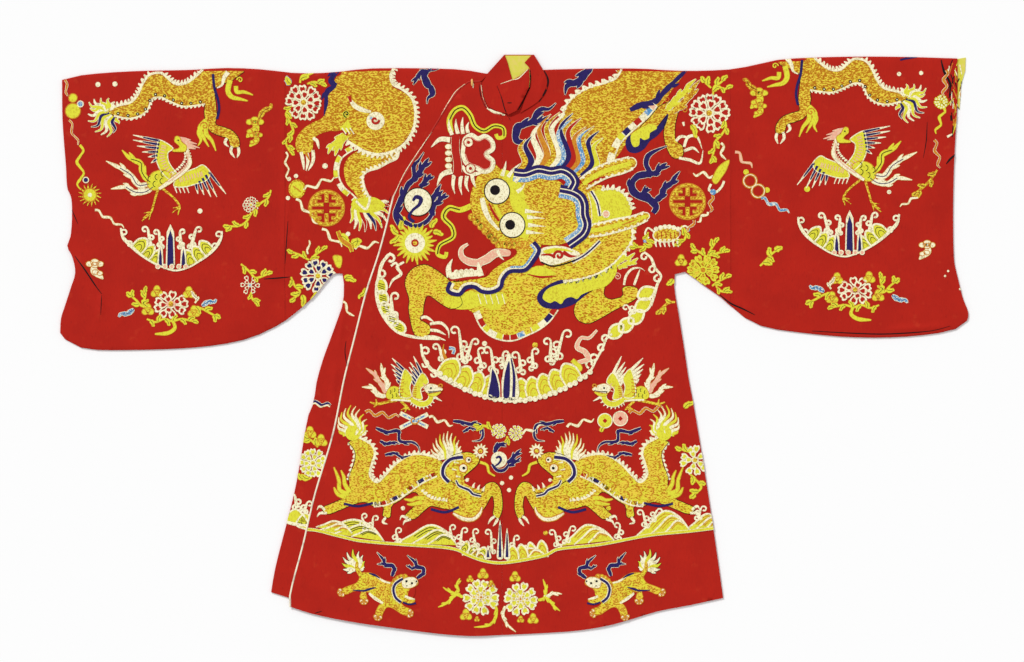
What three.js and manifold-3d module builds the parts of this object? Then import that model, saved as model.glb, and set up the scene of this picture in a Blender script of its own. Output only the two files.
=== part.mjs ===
/**
 * Round-collar court robe of red satin, laid flat on its back with the front up.
 *
 * Millimetres. +X runs to the wearer's left sleeve, +Y to the neck, +Z up off the surface it lies on.
 * The origin is the bottom centre of its bounding box. "Right" and "left" are the wearer's own.
 *
 * Each body panel is one length of cloth that runs from the back hem over the shoulder to the front hem.
 * Each sleeve is a tube pressed flat. The outer front laps over the right front and fastens at the shoulder.
 */
import * as THREE from "three";
import { mergeVertices } from "three/addons/utils/BufferGeometryUtils.js";
import Module from "manifold-3d";

const wasm = await Module();
wasm.setup();

// ---------------------------------------------------------------- driving dimensions

const CLOTH = 1.4; // one wall: satin, embroidery and backing together
const LAYER_GAP = 0.4; // air between two layers that lie on each other
const SEAM_GAP = 0.3; // between two pieces at a seam

const CENTRE_X = -26; // centre-front and centre-back seam
const SEAM_X = { right: -482, left: 453 }; // sleeve seams
const UNDERLAP_X = -72; // where the right front ends, out of sight under the outer front

const GRID = 34; // pitch of the surface grid that all the panels share
const FOLD_STEPS = 4; // steps round a folded edge
const EDGE_STEP = 24; // spacing of the points along a curved edge
const NECK_STEP = 10; // the same round the neck and the cuffs
const SLEEVE_ROWS = 15; // rows across a sleeve's front
const SPARE = 60; // how far a panel's raw grid runs past its outline

const LEVEL = {
  back: 0, // underside of the back layer, which rests on the surface
  front: CLOTH + LAYER_GAP,
  outer: 2 * (CLOTH + LAYER_GAP),
  flap: 3 * (CLOTH + LAYER_GAP),
};

const LINING = 1; // wall of the yellow and cream linings
const EDGING = { width: 3.4, height: 1.9 }; // pale piping along the lap
const NECK_TRIM = { top: 2.2, bottom: 6 }; // width of the cream trim round the outer neckline
const LOOP = { x: -89, y: 552, length: 16, width: 5, height: 3.6 }; // cord loop at the shoulder

// ---------------------------------------------------------------- edge tables

const TOP_EDGE = [
  { x: -950, y: 558 },
  { x: -908, y: 568 },
  { x: -807, y: 576 },
  { x: -681, y: 579 },
  { x: -606, y: 583 },
  { x: -530, y: 580 },
  { x: -455, y: 572 },
  { x: -379, y: 574 },
  { x: -303, y: 582 },
  { x: -114, y: 580 },
  { x: -54, y: 571 },
  { x: 58, y: 579 },
  { x: 251, y: 582 },
  { x: 352, y: 577 },
  { x: 453, y: 580 },
  { x: 503, y: 589 },
  { x: 553, y: 600 },
  { x: 629, y: 605 },
  { x: 730, y: 607 },
  { x: 831, y: 606 },
  { x: 930, y: 603 },
];

const SLEEVE_BOTTOM = {
  right: [
    { x: -954, y: 27 },
    { x: -940, y: 9 },
    { x: -916, y: -3 },
    { x: -879, y: -9 },
    { x: -782, y: -9 },
    { x: -681, y: -5 },
    { x: -606, y: 4 },
    { x: -555, y: 16 },
    { x: -509, y: 36 },
    { x: -482, y: 52 },
  ],
  left: [
    { x: 453, y: 84 },
    { x: 478, y: 62 },
    { x: 522, y: 40 },
    { x: 602, y: 27 },
    { x: 698, y: 18 },
    { x: 788, y: 17 },
    { x: 876, y: 24 },
    { x: 933, y: 37 },
    { x: 954, y: 54 },
  ],
};

const CUFF = {
  right: [
    { x: -950, y: 558 },
    { x: -949, y: 474 },
    { x: -942, y: 379 },
    { x: -938, y: 327 },
    { x: -931, y: 312 },
    { x: -932, y: 230 },
    { x: -939, y: 208 },
    { x: -929, y: 188 },
    { x: -922, y: 154 },
    { x: -933, y: 117 },
    { x: -944, y: 83 },
    { x: -952, y: 58 },
    { x: -954, y: 27 },
  ],
  left: [
    { x: 930, y: 603 },
    { x: 930, y: 516 },
    { x: 926, y: 440 },
    { x: 923, y: 377 },
    { x: 921, y: 285 },
    { x: 922, y: 200 },
    { x: 924, y: 172 },
    { x: 931, y: 142 },
    { x: 942, y: 98 },
    { x: 953, y: 68 },
    { x: 950, y: 51 },
    { x: 936, y: 38 },
  ],
};

// From the sleeve seam round the armpit, down the side and past the head of the side vent.
const SIDE = {
  right: [
    { x: -482, y: 52 },
    { x: -450, y: 77 },
    { x: -419, y: 106 },
    { x: -394, y: 137 },
    { x: -377, y: 154 },
    { x: -364, y: 156 },
    { x: -358, y: 128 },
    { x: -361, y: 86 },
    { x: -371, y: 56 },
    { x: -387, y: 12 },
    { x: -403, y: -32 },
    { x: -417, y: -84 },
    { x: -421, y: -119 },
    { x: -430, y: -137 },
    { x: -461, y: -303 },
    { x: -503, y: -471 },
    { x: -511, y: -518 },
  ],
  left: [
    { x: 453, y: 84 },
    { x: 434, y: 101 },
    { x: 398, y: 126 },
    { x: 366, y: 150 },
    { x: 350, y: 157 },
    { x: 337, y: 150 },
    { x: 336, y: 117 },
    { x: 341, y: 87 },
    { x: 356, y: -5 },
    { x: 366, y: -72 },
    { x: 375, y: -119 },
    { x: 402, y: -282 },
    { x: 427, y: -450 },
    { x: 438, y: -530 },
  ],
};

const HEM = {
  right: [
    { x: -511, y: -518 },
    { x: -469, y: -531 },
    { x: -354, y: -562 },
    { x: -203, y: -587 },
    { x: -26, y: -604 },
  ],
  outer: [
    { x: -469, y: -549 },
    { x: -429, y: -562 },
    { x: -354, y: -578 },
    { x: -253, y: -593 },
    { x: -152, y: -606 },
    { x: -93, y: -610 },
    { x: -26, y: -608 },
  ],
  left: [
    { x: -26, y: -608 },
    { x: 75, y: -603 },
    { x: 138, y: -598 },
    { x: 201, y: -587 },
    { x: 251, y: -573 },
    { x: 301, y: -558 },
    { x: 369, y: -545 },
    { x: 438, y: -530 },
  ],
};

// Free edge of the outer front, from the shoulder fastening to the hem.
const LAP_EDGE = [
  { x: -72, y: 553 },
  { x: -101, y: 550 },
  { x: -125, y: 523 },
  { x: -173, y: 448 },
  { x: -215, y: 377 },
  { x: -251, y: 316 },
  { x: -263, y: 268 },
  { x: -282, y: 196 },
  { x: -308, y: 117 },
  { x: -335, y: 12 },
  { x: -356, y: -72 },
  { x: -379, y: -185 },
  { x: -418, y: -316 },
  { x: -441, y: -414 },
  { x: -470, y: -530 },
  { x: -469, y: -549 },
];

// Front neckline from the lap's upper corner round to the left shoulder.
const NECKLINE = {
  right: [
    { x: -72, y: 553 },
    { x: -69, y: 522 },
    { x: -61, y: 499 },
    { x: -43, y: 488 },
    { x: -26, y: 483 },
  ],
  left: [
    { x: -26, y: 483 },
    { x: -10, y: 480 },
    { x: 12, y: 488 },
    { x: 48, y: 511 },
    { x: 65, y: 532 },
    { x: 69, y: 553 },
    { x: 59, y: 581 },
  ],
};

const BACK_NECKLINE = [
  { x: -53, y: 572 },
  { x: -49, y: 549 },
  { x: -24, y: 532 },
  { x: 28, y: 532 },
  { x: 56, y: 549 },
  { x: 59, y: 581 },
];

const COLLAR = {
  // Its lower edge is the back neckline.
  back: [
    { x: 41, y: 611 },
    { x: -21, y: 611 },
  ],
  lining: [
    { x: -19, y: 609 },
    { x: 38, y: 609 },
    { x: 48, y: 590 },
    { x: 46, y: 552 },
    { x: 22, y: 537 },
    { x: -14, y: 537 },
    { x: -28, y: 556 },
    { x: -30, y: 590 },
  ],
  right: [
    { x: -56, y: 572 },
    { x: -21, y: 611 },
    { x: -15, y: 596 },
    { x: -5, y: 560 },
    { x: -2, y: 524 },
    { x: -10, y: 486 },
    { x: -37, y: 492 },
    { x: -55, y: 501 },
    { x: -65, y: 523 },
    { x: -69, y: 549 },
  ],
  flap: [
    { x: -36, y: 544 },
    { x: -4, y: 557 },
    { x: 12, y: 566 },
    { x: 30, y: 582 },
    { x: 32, y: 560 },
    { x: 30, y: 541 },
    { x: 19, y: 519 },
    { x: 4, y: 493 },
    { x: -14, y: 484 },
    { x: -24, y: 514 },
  ],
  // Its outer edge is the left neckline.
  left: [
    { x: 41, y: 611 },
    { x: 34, y: 608 },
    { x: 21, y: 594 },
    { x: 30, y: 585 },
    { x: 35, y: 566 },
    { x: 33, y: 541 },
    { x: 22, y: 518 },
  ],
};

// Frayed lining that shows past the left cuff's upper corner.
const CUFF_LINING = [
  { x: 930.5, y: 602 },
  { x: 948, y: 605 },
  { x: 947, y: 577 },
  { x: 938, y: 548 },
  { x: 935, y: 496 },
  { x: 930.5, y: 500 },
];

// Soft folds of the front: a ridge from (x0, y0) to (x1, y1).
const FOLDS = [
  { x0: -915, y0: 175, x1: -862, y1: 52, width: 30, height: 2.8 },
  { x0: -900, y0: 330, x1: -880, y1: 470, width: 34, height: 1.4 },
  { x0: -770, y0: 40, x1: -600, y1: 60, width: 32, height: 1.6 },
  { x0: -560, y0: 70, x1: -500, y1: 190, width: 30, height: 1.8 },
  { x0: -330, y0: 215, x1: -312, y1: 40, width: 32, height: 1.8 },
  { x0: -300, y0: -60, x1: -352, y1: -330, width: 38, height: 2 },
  { x0: -230, y0: -330, x1: -290, y1: -560, width: 40, height: 2 },
  { x0: -30, y0: -120, x1: -60, y1: -420, width: 44, height: 1.2 },
  { x0: 150, y0: -250, x1: 190, y1: -560, width: 44, height: 2 },
  { x0: 270, y0: 40, x1: 318, y1: -300, width: 40, height: 1.8 },
  { x0: 480, y0: 120, x1: 610, y1: 70, width: 30, height: 2 },
  { x0: 850, y0: 480, x1: 865, y1: 330, width: 32, height: 2 },
  { x0: 760, y0: 60, x1: 900, y1: 75, width: 28, height: 2.2 },
  { x0: 640, y0: 480, x1: 660, y1: 260, width: 44, height: 1.2 },
];

// ---------------------------------------------------------------- curves and outlines

/** A smooth function through a table of points, y against x, straight beyond its ends. */
function throughPoints(rows) {
  const slopeAt = (i) => {
    const before = rows[Math.max(i - 1, 0)];
    const after = rows[Math.min(i + 1, rows.length - 1)];
    return (after.y - before.y) / (after.x - before.x);
  };
  const last = rows.length - 1;
  return (x) => {
    if (x <= rows[0].x) return rows[0].y + slopeAt(0) * (x - rows[0].x);
    if (x >= rows[last].x) return rows[last].y + slopeAt(last) * (x - rows[last].x);
    const i = rows.findIndex((row) => row.x > x) - 1;
    const run = rows[i + 1].x - rows[i].x;
    const t = (x - rows[i].x) / run;
    const start = (1 + 2 * t) * (1 - t) ** 2 * rows[i].y + t * (1 - t) ** 2 * run * slopeAt(i);
    const end = t * t * (3 - 2 * t) * rows[i + 1].y + t * t * (t - 1) * run * slopeAt(i + 1);
    return start + end;
  };
}

/** Points every few millimetres along a smooth open curve through a table's rows. */
function edge(rows, step = EDGE_STEP) {
  const knots = rows.map(({ x, y }) => new THREE.Vector3(x, y, 0));
  const curve = new THREE.CatmullRomCurve3(knots, false, "centripetal");
  return curve.getSpacedPoints(Math.max(2, Math.round(curve.getLength() / step)));
}

/** A closed outline moved in (positive) or out (negative) by a distance. */
function inset(points, distance) {
  const turn = THREE.ShapeUtils.isClockWise(points) ? -1 : 1;
  const count = points.length;
  return points.map((point, i) => {
    const before = points[(i + count - 1) % count];
    const after = points[(i + 1) % count];
    const into = new THREE.Vector2(point.x - before.x, point.y - before.y).normalize();
    const out = new THREE.Vector2(after.x - point.x, after.y - point.y).normalize();
    const normal = new THREE.Vector2(-into.y - out.y, into.x + out.x).multiplyScalar(turn);
    const reach = distance / Math.max(0.4, normal.length() / 2);
    return point.clone().addScaledVector(normal.normalize(), reach);
  });
}

const corner = (x, y) => new THREE.Vector2(x, y);
const flat = (points) => points.map(({ x, y }) => corner(x, y));

// ---------------------------------------------------------------- folds

/** Height of the soft folds at a point, before the grid makes it faceted. */
function foldHeight(x, y) {
  return FOLDS.reduce((sum, fold) => {
    const run = corner(fold.x1 - fold.x0, fold.y1 - fold.y0);
    const at = corner(x - fold.x0, y - fold.y0);
    const share = THREE.MathUtils.clamp(at.dot(run) / run.lengthSq(), 0, 1);
    const away = at.addScaledVector(run, -share).length() / fold.width;
    return sum + fold.height * Math.exp(-away * away);
  }, 0);
}

const gridX = (column) => CENTRE_X + column * GRID;
const gridY = (row) => row * GRID;

/** Height of the folded surface at a point: the fold height over the flat facets of the shared grid. */
function drape(x, y) {
  const column = Math.floor((x - CENTRE_X) / GRID);
  const row = Math.floor(y / GRID);
  const u = (x - gridX(column)) / GRID;
  const v = (y - gridY(row)) / GRID;
  const at = (c, r) => foldHeight(gridX(column + c), gridY(row + r));
  // The facets split each cell from its upper left to its lower right corner.
  if (u + v < 1) return at(0, 0) + u * (at(1, 0) - at(0, 0)) + v * (at(0, 1) - at(0, 0));
  return at(1, 1) + (1 - u) * (at(0, 1) - at(1, 1)) + (1 - v) * (at(1, 0) - at(1, 1));
}

// ---------------------------------------------------------------- solids

/** Turns a list of triangles, each three points, into a manifold-3d solid. */
function solidOf(triangles) {
  const positions = new Float32Array(triangles.flat().flatMap((point) => point.toArray()));
  const loose = new THREE.BufferGeometry();
  loose.setAttribute("position", new THREE.BufferAttribute(positions, 3));
  return solidOfGeometry(loose);
}

/** Turns a three.js geometry into a manifold-3d solid. */
function solidOfGeometry(geometry) {
  geometry.deleteAttribute("normal");
  geometry.deleteAttribute("uv");
  const merged = mergeVertices(geometry, 1e-4);
  return new wasm.Manifold(
    new wasm.Mesh({
      numProp: 3,
      vertProperties: merged.attributes.position.array,
      triVerts: new Uint32Array(merged.index.array),
    }),
  );
}

/** Turns a manifold-3d solid into a named mesh of one finish. */
function meshOf(name, solid, finish) {
  const made = solid.getMesh();
  const geometry = new THREE.BufferGeometry();
  geometry.setAttribute("position", new THREE.BufferAttribute(made.vertProperties, made.numProp));
  geometry.setIndex(new THREE.BufferAttribute(made.triVerts, 1));
  geometry.computeVertexNormals();
  const mesh = new THREE.Mesh(geometry, finish);
  mesh.name = name;
  return mesh;
}

/** A straight prism over a closed outline, from one height to another. */
function prism(outline, bottom, top) {
  const shape = new THREE.Shape(outline);
  const geometry = new THREE.ExtrudeGeometry(shape, { depth: top - bottom, bevelEnabled: false });
  return solidOfGeometry(geometry.translate(0, 0, bottom));
}

/** Two triangles between neighbouring rings, split from upper left to lower right in plan. */
function facets(a, b, c, d) {
  // a and b are on the left ring, d and c beside them on the right ring.
  return b.y < a.y ? [[a, b, c], [a, c, d]] : [[a, b, d], [b, c, d]];
}

/**
 * Lofts closed rings of points into walls, without end caps.
 * Rings run from -X to +X, and each goes round so that its left side faces out of the cloth.
 */
function walls(rings) {
  const triangles = [];
  rings.slice(1).forEach((right, i) => {
    const left = rings[i];
    left.forEach((point, j) => {
      const next = (j + 1) % left.length;
      triangles.push(...facets(point, left[next], right[next], right[j]));
    });
  });
  return triangles;
}

const reversed = (triangles) => triangles.map(([a, b, c]) => [a, c, b]);

/** A half circle of points in the plane of one ring, round a folded edge. */
function turnRound(x, y, radius, from, sweep) {
  const height = LEVEL.back + CLOTH + LAYER_GAP / 2;
  return Array.from({ length: FOLD_STEPS + 1 }, (_, i) => {
    const angle = from + (sweep * i) / FOLD_STEPS;
    return new THREE.Vector3(x, y + radius * Math.cos(angle), height + radius * Math.sin(angle));
  });
}

const INNER_RADIUS = LAYER_GAP / 2;
const OUTER_RADIUS = INNER_RADIUS + CLOTH;
const topEdge = throughPoints(TOP_EDGE);

/** The grid columns that cover a range of x. */
function columns(from, to) {
  const first = Math.floor((from - CENTRE_X) / GRID);
  const last = Math.ceil((to - CENTRE_X) / GRID);
  return Array.from({ length: last - first + 1 }, (_, i) => gridX(first + i));
}

/** The grid rows of y from a given height on the robe down past the hem. */
function panelRows(from) {
  const top = Math.round(from / GRID);
  const bottom = Math.floor((Math.min(...HEM.outer.map((row) => row.y)) - SPARE / 2) / GRID);
  return Array.from({ length: top - bottom + 1 }, (_, i) => gridY(top - i));
}

/**
 * One length of cloth folded over the shoulder: a flat back, the rounded fold and a front that
 * follows the soft folds. It is left wide, for an outline to cut.
 */
function foldedLength(from, to) {
  const rows = panelRows(LAP_EDGE[0].y);
  const hem = rows.at(-1);
  const side = (x, radius, lift) => [
    new THREE.Vector3(x, hem, LEVEL.back + CLOTH - (radius - INNER_RADIUS)),
    ...turnRound(x, topEdge(x) - OUTER_RADIUS, radius, -Math.PI / 2, Math.PI),
    ...rows.map((y) => new THREE.Vector3(x, y, LEVEL.front + lift + drape(x, y))),
  ];
  const rings = columns(from, to).map((x) => [
    ...side(x, OUTER_RADIUS, CLOTH),
    ...side(x, INNER_RADIUS, 0).reverse(),
  ]);
  return solidOf(closed(rings));
}

/** A single layer that follows the soft folds at a height which may change across it. */
function layer(from, to, levelAt) {
  const rows = panelRows(LAP_EDGE[0].y + GRID);
  const line = (x, lift) => rows.map((y) => new THREE.Vector3(x, y, levelAt(x) + lift + drape(x, y)));
  const rings = columns(from, to).map((x) => [...line(x, CLOTH), ...line(x, 0).reverse()]);
  return solidOf(closed(rings));
}

/** Walls round a run of rings plus its two ends, which are strips between the ring's two halves. */
function closed(rings) {
  const strip = (ring) => {
    const half = ring.length / 2;
    return Array.from({ length: half - 1 }, (_, i) => [
      [ring[i], ring[i + 1], ring[ring.length - 2 - i]],
      [ring[i], ring[ring.length - 2 - i], ring[ring.length - 1 - i]],
    ]).flat();
  };
  const first = strip(rings[0]);
  const last = strip(rings[rings.length - 1]);
  return [...walls(rings), ...reversed(first), ...last];
}

/** A sleeve: a tube pressed flat, folded at its top and bottom edges, open at both ends. */
function sleeve(from, to, bottomRows) {
  const bottomEdge = throughPoints(bottomRows);
  const ring = (x, radius, lift) => {
    const top = topEdge(x) - OUTER_RADIUS;
    const bottom = bottomEdge(x) + OUTER_RADIUS;
    const rows = Array.from({ length: SLEEVE_ROWS }, (_, i) => top - ((top - bottom) * (i + 1)) / (SLEEVE_ROWS + 1));
    return [
      ...turnRound(x, top, radius, -Math.PI / 2, Math.PI),
      ...rows.map((y) => new THREE.Vector3(x, y, LEVEL.front + lift + drape(x, y))),
      ...turnRound(x, bottom, radius, Math.PI / 2, Math.PI),
    ];
  };
  const stations = columns(from, to);
  const outside = stations.map((x) => ring(x, OUTER_RADIUS, CLOTH));
  const inside = stations.map((x) => ring(x, INNER_RADIUS, 0));
  const mouth = (i) =>
    outside[i].flatMap((point, j) => {
      const next = (j + 1) % outside[i].length;
      return [
        [point, outside[i][next], inside[i][next]],
        [point, inside[i][next], inside[i][j]],
      ];
    });
  return solidOf([
    ...walls(outside),
    ...reversed(walls(inside)),
    ...reversed(mouth(0)),
    ...mouth(stations.length - 1),
  ]);
}

// ---------------------------------------------------------------- pieces

const ABOVE = 700; // clear of the top edge
const BELOW = -700; // clear of the hem
const HIGH = 40; // clear of every layer
const MIDDLE = CLOTH + LAYER_GAP / 2; // between the back layer and the front
const BELOW_MIDDLE = MIDDLE - LAYER_GAP / 4; // so that the two neck cuts meet

/** The two body panels' plan: side, hem and the straight seams. */
function bodyOutline(name) {
  const sign = name === "right" ? -1 : 1;
  const seam = SEAM_X[name] - (sign * SEAM_GAP) / 2;
  const centre = CENTRE_X + (sign * SEAM_GAP) / 2;
  const hem = edge(HEM[name]);
  const side = edge(SIDE[name]).filter((point) => sign * point.x < sign * seam || point.y < SIDE[name][0].y);
  if (name === "left") hem.reverse();
  return flat([
    corner(centre, ABOVE),
    corner(seam, ABOVE),
    corner(seam, SIDE[name][0].y),
    ...side,
    ...hem.slice(1, -1),
    corner(centre, HEM[name][name === "right" ? HEM.right.length - 1 : 0].y),
  ]);
}

/** What is cut from the front of each body panel at the neck. */
function frontNeckCut() {
  return flat([
    corner(59, ABOVE),
    corner(-53, ABOVE),
    corner(-53, 572),
    corner(UNDERLAP_X, NECKLINE.right[0].y),
    corner(UNDERLAP_X, BELOW),
    corner(CENTRE_X, BELOW),
    ...edge(NECKLINE.left, NECK_STEP),
  ]);
}

function body(name) {
  const bounds = name === "right" ? [SIDE.right.at(-1).x, CENTRE_X] : [CENTRE_X, SEAM_X.left];
  const backNeck = flat([corner(-53, ABOVE), ...edge(BACK_NECKLINE, NECK_STEP), corner(59, ABOVE)]);
  return foldedLength(bounds[0], bounds[1])
    .intersect(prism(bodyOutline(name), -SPARE, HIGH))
    .subtract(prism(frontNeckCut(), BELOW_MIDDLE, HIGH))
    .subtract(prism(inset(backNeck, -SEAM_GAP), -SPARE, MIDDLE));
}

/** The outer front: from the centre-front seam across the right front to the lap edge. */
function frontOverlap() {
  const outline = flat([
    ...edge(NECKLINE.right, NECK_STEP).reverse(),
    ...edge(LAP_EDGE).slice(1),
    ...edge(HEM.outer).slice(1),
  ]);
  const stepUp = (x) => (x < CENTRE_X - GRID / 2 ? LEVEL.outer : LEVEL.front);
  return layer(LAP_EDGE.at(-1).x, CENTRE_X, stepUp).intersect(prism(inset(outline, SEAM_GAP / 2), -SPARE, HIGH));
}

function flattenedSleeve(name) {
  const sign = name === "right" ? -1 : 1;
  const seam = SEAM_X[name] + (sign * SEAM_GAP) / 2;
  const cuff = edge(CUFF[name], NECK_STEP);
  const tip = Math.max(...cuff.map((point) => sign * point.x)) + SPARE;
  const outline = flat([
    corner(seam, ABOVE),
    corner(cuff[0].x, ABOVE),
    ...cuff,
    corner(cuff.at(-1).x, BELOW),
    corner(seam, BELOW),
  ]);
  const reach = [SEAM_X[name] - sign * GRID, sign * tip].sort((a, b) => a - b);
  return sleeve(reach[0], reach[1], SLEEVE_BOTTOM[name]).intersect(prism(outline, -SPARE, HIGH));
}

/** Pale piping laid beside the lap edge, on top of the right front. */
function lapEdging() {
  const spine = flat(edge(LAP_EDGE));
  const rings = spine.map((point, i) => {
    const before = spine[Math.max(i - 1, 0)];
    const after = spine[Math.min(i + 1, spine.length - 1)];
    const along = corner(after.x - before.x, after.y - before.y).normalize();
    const aside = corner(along.y, -along.x); // away from the outer front
    const level = LEVEL.outer + Math.max(drape(point.x, point.y), 0);
    const place = (across, up) =>
      new THREE.Vector3(point.x + aside.x * across, point.y + aside.y * across, level + up);
    const near = SEAM_GAP;
    const far = near + EDGING.width;
    return [
      place(near, 0),
      place(near, EDGING.height * 0.7),
      place(near + EDGING.width * 0.3, EDGING.height),
      place(far - EDGING.width * 0.3, EDGING.height),
      place(far, EDGING.height * 0.7),
      place(far, 0),
    ];
  });
  return solidOf(swept(rings));
}

/** A solid bar through a run of rings, its ends closed by fans. */
function swept(rings) {
  const sides = rings.slice(1).flatMap((after, i) =>
    after.flatMap((point, j) => {
      const next = (j + 1) % after.length;
      return [
        [rings[i][j], after[next], after[j]],
        [rings[i][j], rings[i][next], after[next]],
      ];
    }),
  );
  const fan = (ring) => ring.slice(2).map((point, i) => [ring[0], ring[i + 1], point]);
  return [...sides, ...reversed(fan(rings[0])), ...fan(rings.at(-1))];
}

/** Cream trim along the outer neckline, widest at the front of the neck. */
function neckTrim() {
  const outer = edge(NECKLINE.right, NECK_STEP);
  const inner = outer.map((point, i) => {
    const width = THREE.MathUtils.lerp(NECK_TRIM.top, NECK_TRIM.bottom, i / (outer.length - 1));
    const before = outer[Math.max(i - 1, 0)];
    const after = outer[Math.min(i + 1, outer.length - 1)];
    const along = corner(after.x - before.x, after.y - before.y).normalize();
    return corner(point.x - along.y * width, point.y + along.x * width);
  });
  return inset(flat([...outer, ...inner.reverse()]), SEAM_GAP / 2);
}

function fasteningLoop() {
  const loop = new THREE.SphereGeometry(1, 12, 8).rotateX(Math.PI / 2);
  loop.scale(LOOP.width / 2, LOOP.length / 2, LOOP.height / 2);
  const underside = LEVEL.outer + EDGING.height + SEAM_GAP;
  return solidOfGeometry(loop.translate(LOOP.x, LOOP.y, underside + LOOP.height / 2));
}

// ---------------------------------------------------------------- finishes and assembly

const finish = (color, roughness) => new THREE.MeshStandardMaterial({ color, roughness, metalness: 0 });
const SATIN = finish("#bb2a1e", 0.55);
const YELLOW = finish("#dedb50", 0.7);
const CREAM = finish("#f3e8c0", 0.7);

const flatPiece = (outline, level, wall) => prism(outline, level, level + wall);
const collarPiece = (rows, neckEdge = []) => inset(flat([...rows, ...neckEdge]), SEAM_GAP / 2);

const robe = new THREE.Group();
robe.add(
  meshOf("body_right", body("right"), SATIN),
  meshOf("body_left", body("left"), SATIN),
  meshOf("front_overlap", frontOverlap(), SATIN),
  meshOf("sleeve_right", flattenedSleeve("right"), SATIN),
  meshOf("sleeve_left", flattenedSleeve("left"), SATIN),
  meshOf("collar_back", flatPiece(collarPiece(COLLAR.back, edge(BACK_NECKLINE, NECK_STEP)), LEVEL.back, CLOTH), SATIN),
  meshOf("collar_lining", flatPiece(flat(COLLAR.lining), LEVEL.front, LINING), YELLOW),
  meshOf("collar_right", flatPiece(collarPiece(COLLAR.right), LEVEL.outer, CLOTH), SATIN),
  meshOf("collar_flap", flatPiece(flat(COLLAR.flap), LEVEL.flap, CLOTH), SATIN),
  meshOf("collar_left", flatPiece(collarPiece(COLLAR.left, edge(NECKLINE.left.slice(2), NECK_STEP)), LEVEL.outer, CLOTH), SATIN),
  meshOf("neck_trim", flatPiece(neckTrim(), LEVEL.outer, LINING), CREAM),
  meshOf("lap_edging", lapEdging(), CREAM),
  meshOf("fastening_loop", fasteningLoop(), YELLOW),
  meshOf("cuff_lining_left", flatPiece(flat(CUFF_LINING), LEVEL.back, LINING), YELLOW),
);

const box = new THREE.Box3().setFromObject(robe);
const centre = box.getCenter(new THREE.Vector3());
robe.position.set(-centre.x, -centre.y, -box.min.z);

export default robe;
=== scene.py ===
"""Dresses the qilin court robe: fine cloth, creases, silk and gold embroidery, camera and light."""

import logging
import math
import random
from collections.abc import Iterable, Iterator, Sequence
from contextlib import contextmanager
from dataclasses import dataclass
from enum import Enum

import bmesh
import bpy
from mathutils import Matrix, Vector
from mathutils.bvhtree import BVHTree
from mathutils.geometry import delaunay_2d_cdt


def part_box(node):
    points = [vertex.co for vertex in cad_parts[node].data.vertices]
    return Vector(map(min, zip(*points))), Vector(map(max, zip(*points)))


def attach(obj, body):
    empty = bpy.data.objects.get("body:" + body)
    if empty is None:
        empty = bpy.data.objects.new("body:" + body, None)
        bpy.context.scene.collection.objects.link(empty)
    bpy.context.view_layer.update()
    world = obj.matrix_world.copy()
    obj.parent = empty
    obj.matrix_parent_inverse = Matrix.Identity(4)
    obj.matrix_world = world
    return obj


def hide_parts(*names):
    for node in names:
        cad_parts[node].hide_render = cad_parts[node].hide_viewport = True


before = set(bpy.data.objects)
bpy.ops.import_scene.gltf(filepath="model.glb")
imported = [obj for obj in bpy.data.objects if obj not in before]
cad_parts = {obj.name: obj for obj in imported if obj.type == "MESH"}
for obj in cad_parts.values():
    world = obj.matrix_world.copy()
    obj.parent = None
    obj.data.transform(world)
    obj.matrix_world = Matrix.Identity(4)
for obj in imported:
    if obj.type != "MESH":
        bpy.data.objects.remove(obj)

log = logging.getLogger("robe")

Point = tuple[float, float]
MM = 0.001

# The embroiderer's chart: squares counted right and down from its upper left corner.
CHART_SQUARE = 2.1 * MM
CHART_MIDDLE = (514.5, 345.5)  # the square over the middle of the robe
ROBE_SHIFT = (0.0006, -0.0005)  # from the middle of the chart to the middle of the robe's box


# --- plane geometry


def metres(point: Point) -> Point:
    """Turns a place on the chart into metres in the robe's frame."""
    x = (point[0] - CHART_MIDDLE[0]) * CHART_SQUARE + ROBE_SHIFT[0]
    return x, (CHART_MIDDLE[1] - point[1]) * CHART_SQUARE + ROBE_SHIFT[1]


def along(a: Point, b: Point, share: float) -> Point:
    """The point at a share of the way from one point to another."""
    return a[0] + (b[0] - a[0]) * share, a[1] + (b[1] - a[1]) * share


def polar(centre: Point, angle: float, radius: float) -> Point:
    """The point at an angle, in degrees turning right to down, and a distance from a centre."""
    turn = math.radians(angle)
    return centre[0] + radius * math.cos(turn), centre[1] + radius * math.sin(turn)


def smooth(points: Sequence[Point], closed: bool = False, step: float = 1.3) -> list[Point]:
    """A curve through points, with no overshoot at short spans.

    Args:
        points: The points it passes, in order.
        closed: Whether it comes back to its start.
        step: The spacing of its own points.

    Returns:
        The points along the curve.
    """
    count = len(points)
    if count < 3 and not closed:
        total = max(1, round(math.dist(points[0], points[-1]) / step))
        return [along(points[0], points[-1], i / total) for i in range(total + 1)]
    made: list[Point] = []
    for i in range(count if closed else count - 1):
        near = [
            points[(i + k) % count] if closed else points[min(max(i + k, 0), count - 1)]
            for k in (-1, 0, 1, 2)
        ]
        span = math.dist(near[1], near[2])
        pieces = max(1, round(span / step))
        before = min(1.0, span / max(1e-6, math.dist(near[0], near[2])) * 2)
        after = min(1.0, span / max(1e-6, math.dist(near[1], near[3])) * 2)
        for k in range(pieces):
            t = k / pieces
            h = (2 * t**3 - 3 * t**2 + 1, t**3 - 2 * t**2 + t, -2 * t**3 + 3 * t**2, t**3 - t**2)
            made.append(
                tuple(
                    h[0] * near[1][d]
                    + h[1] * before * (near[2][d] - near[0][d]) / 2
                    + h[2] * near[2][d]
                    + h[3] * after * (near[3][d] - near[1][d]) / 2
                    for d in (0, 1)
                )
            )
    if not closed:
        made.append(tuple(points[-1]))
    return made


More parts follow.
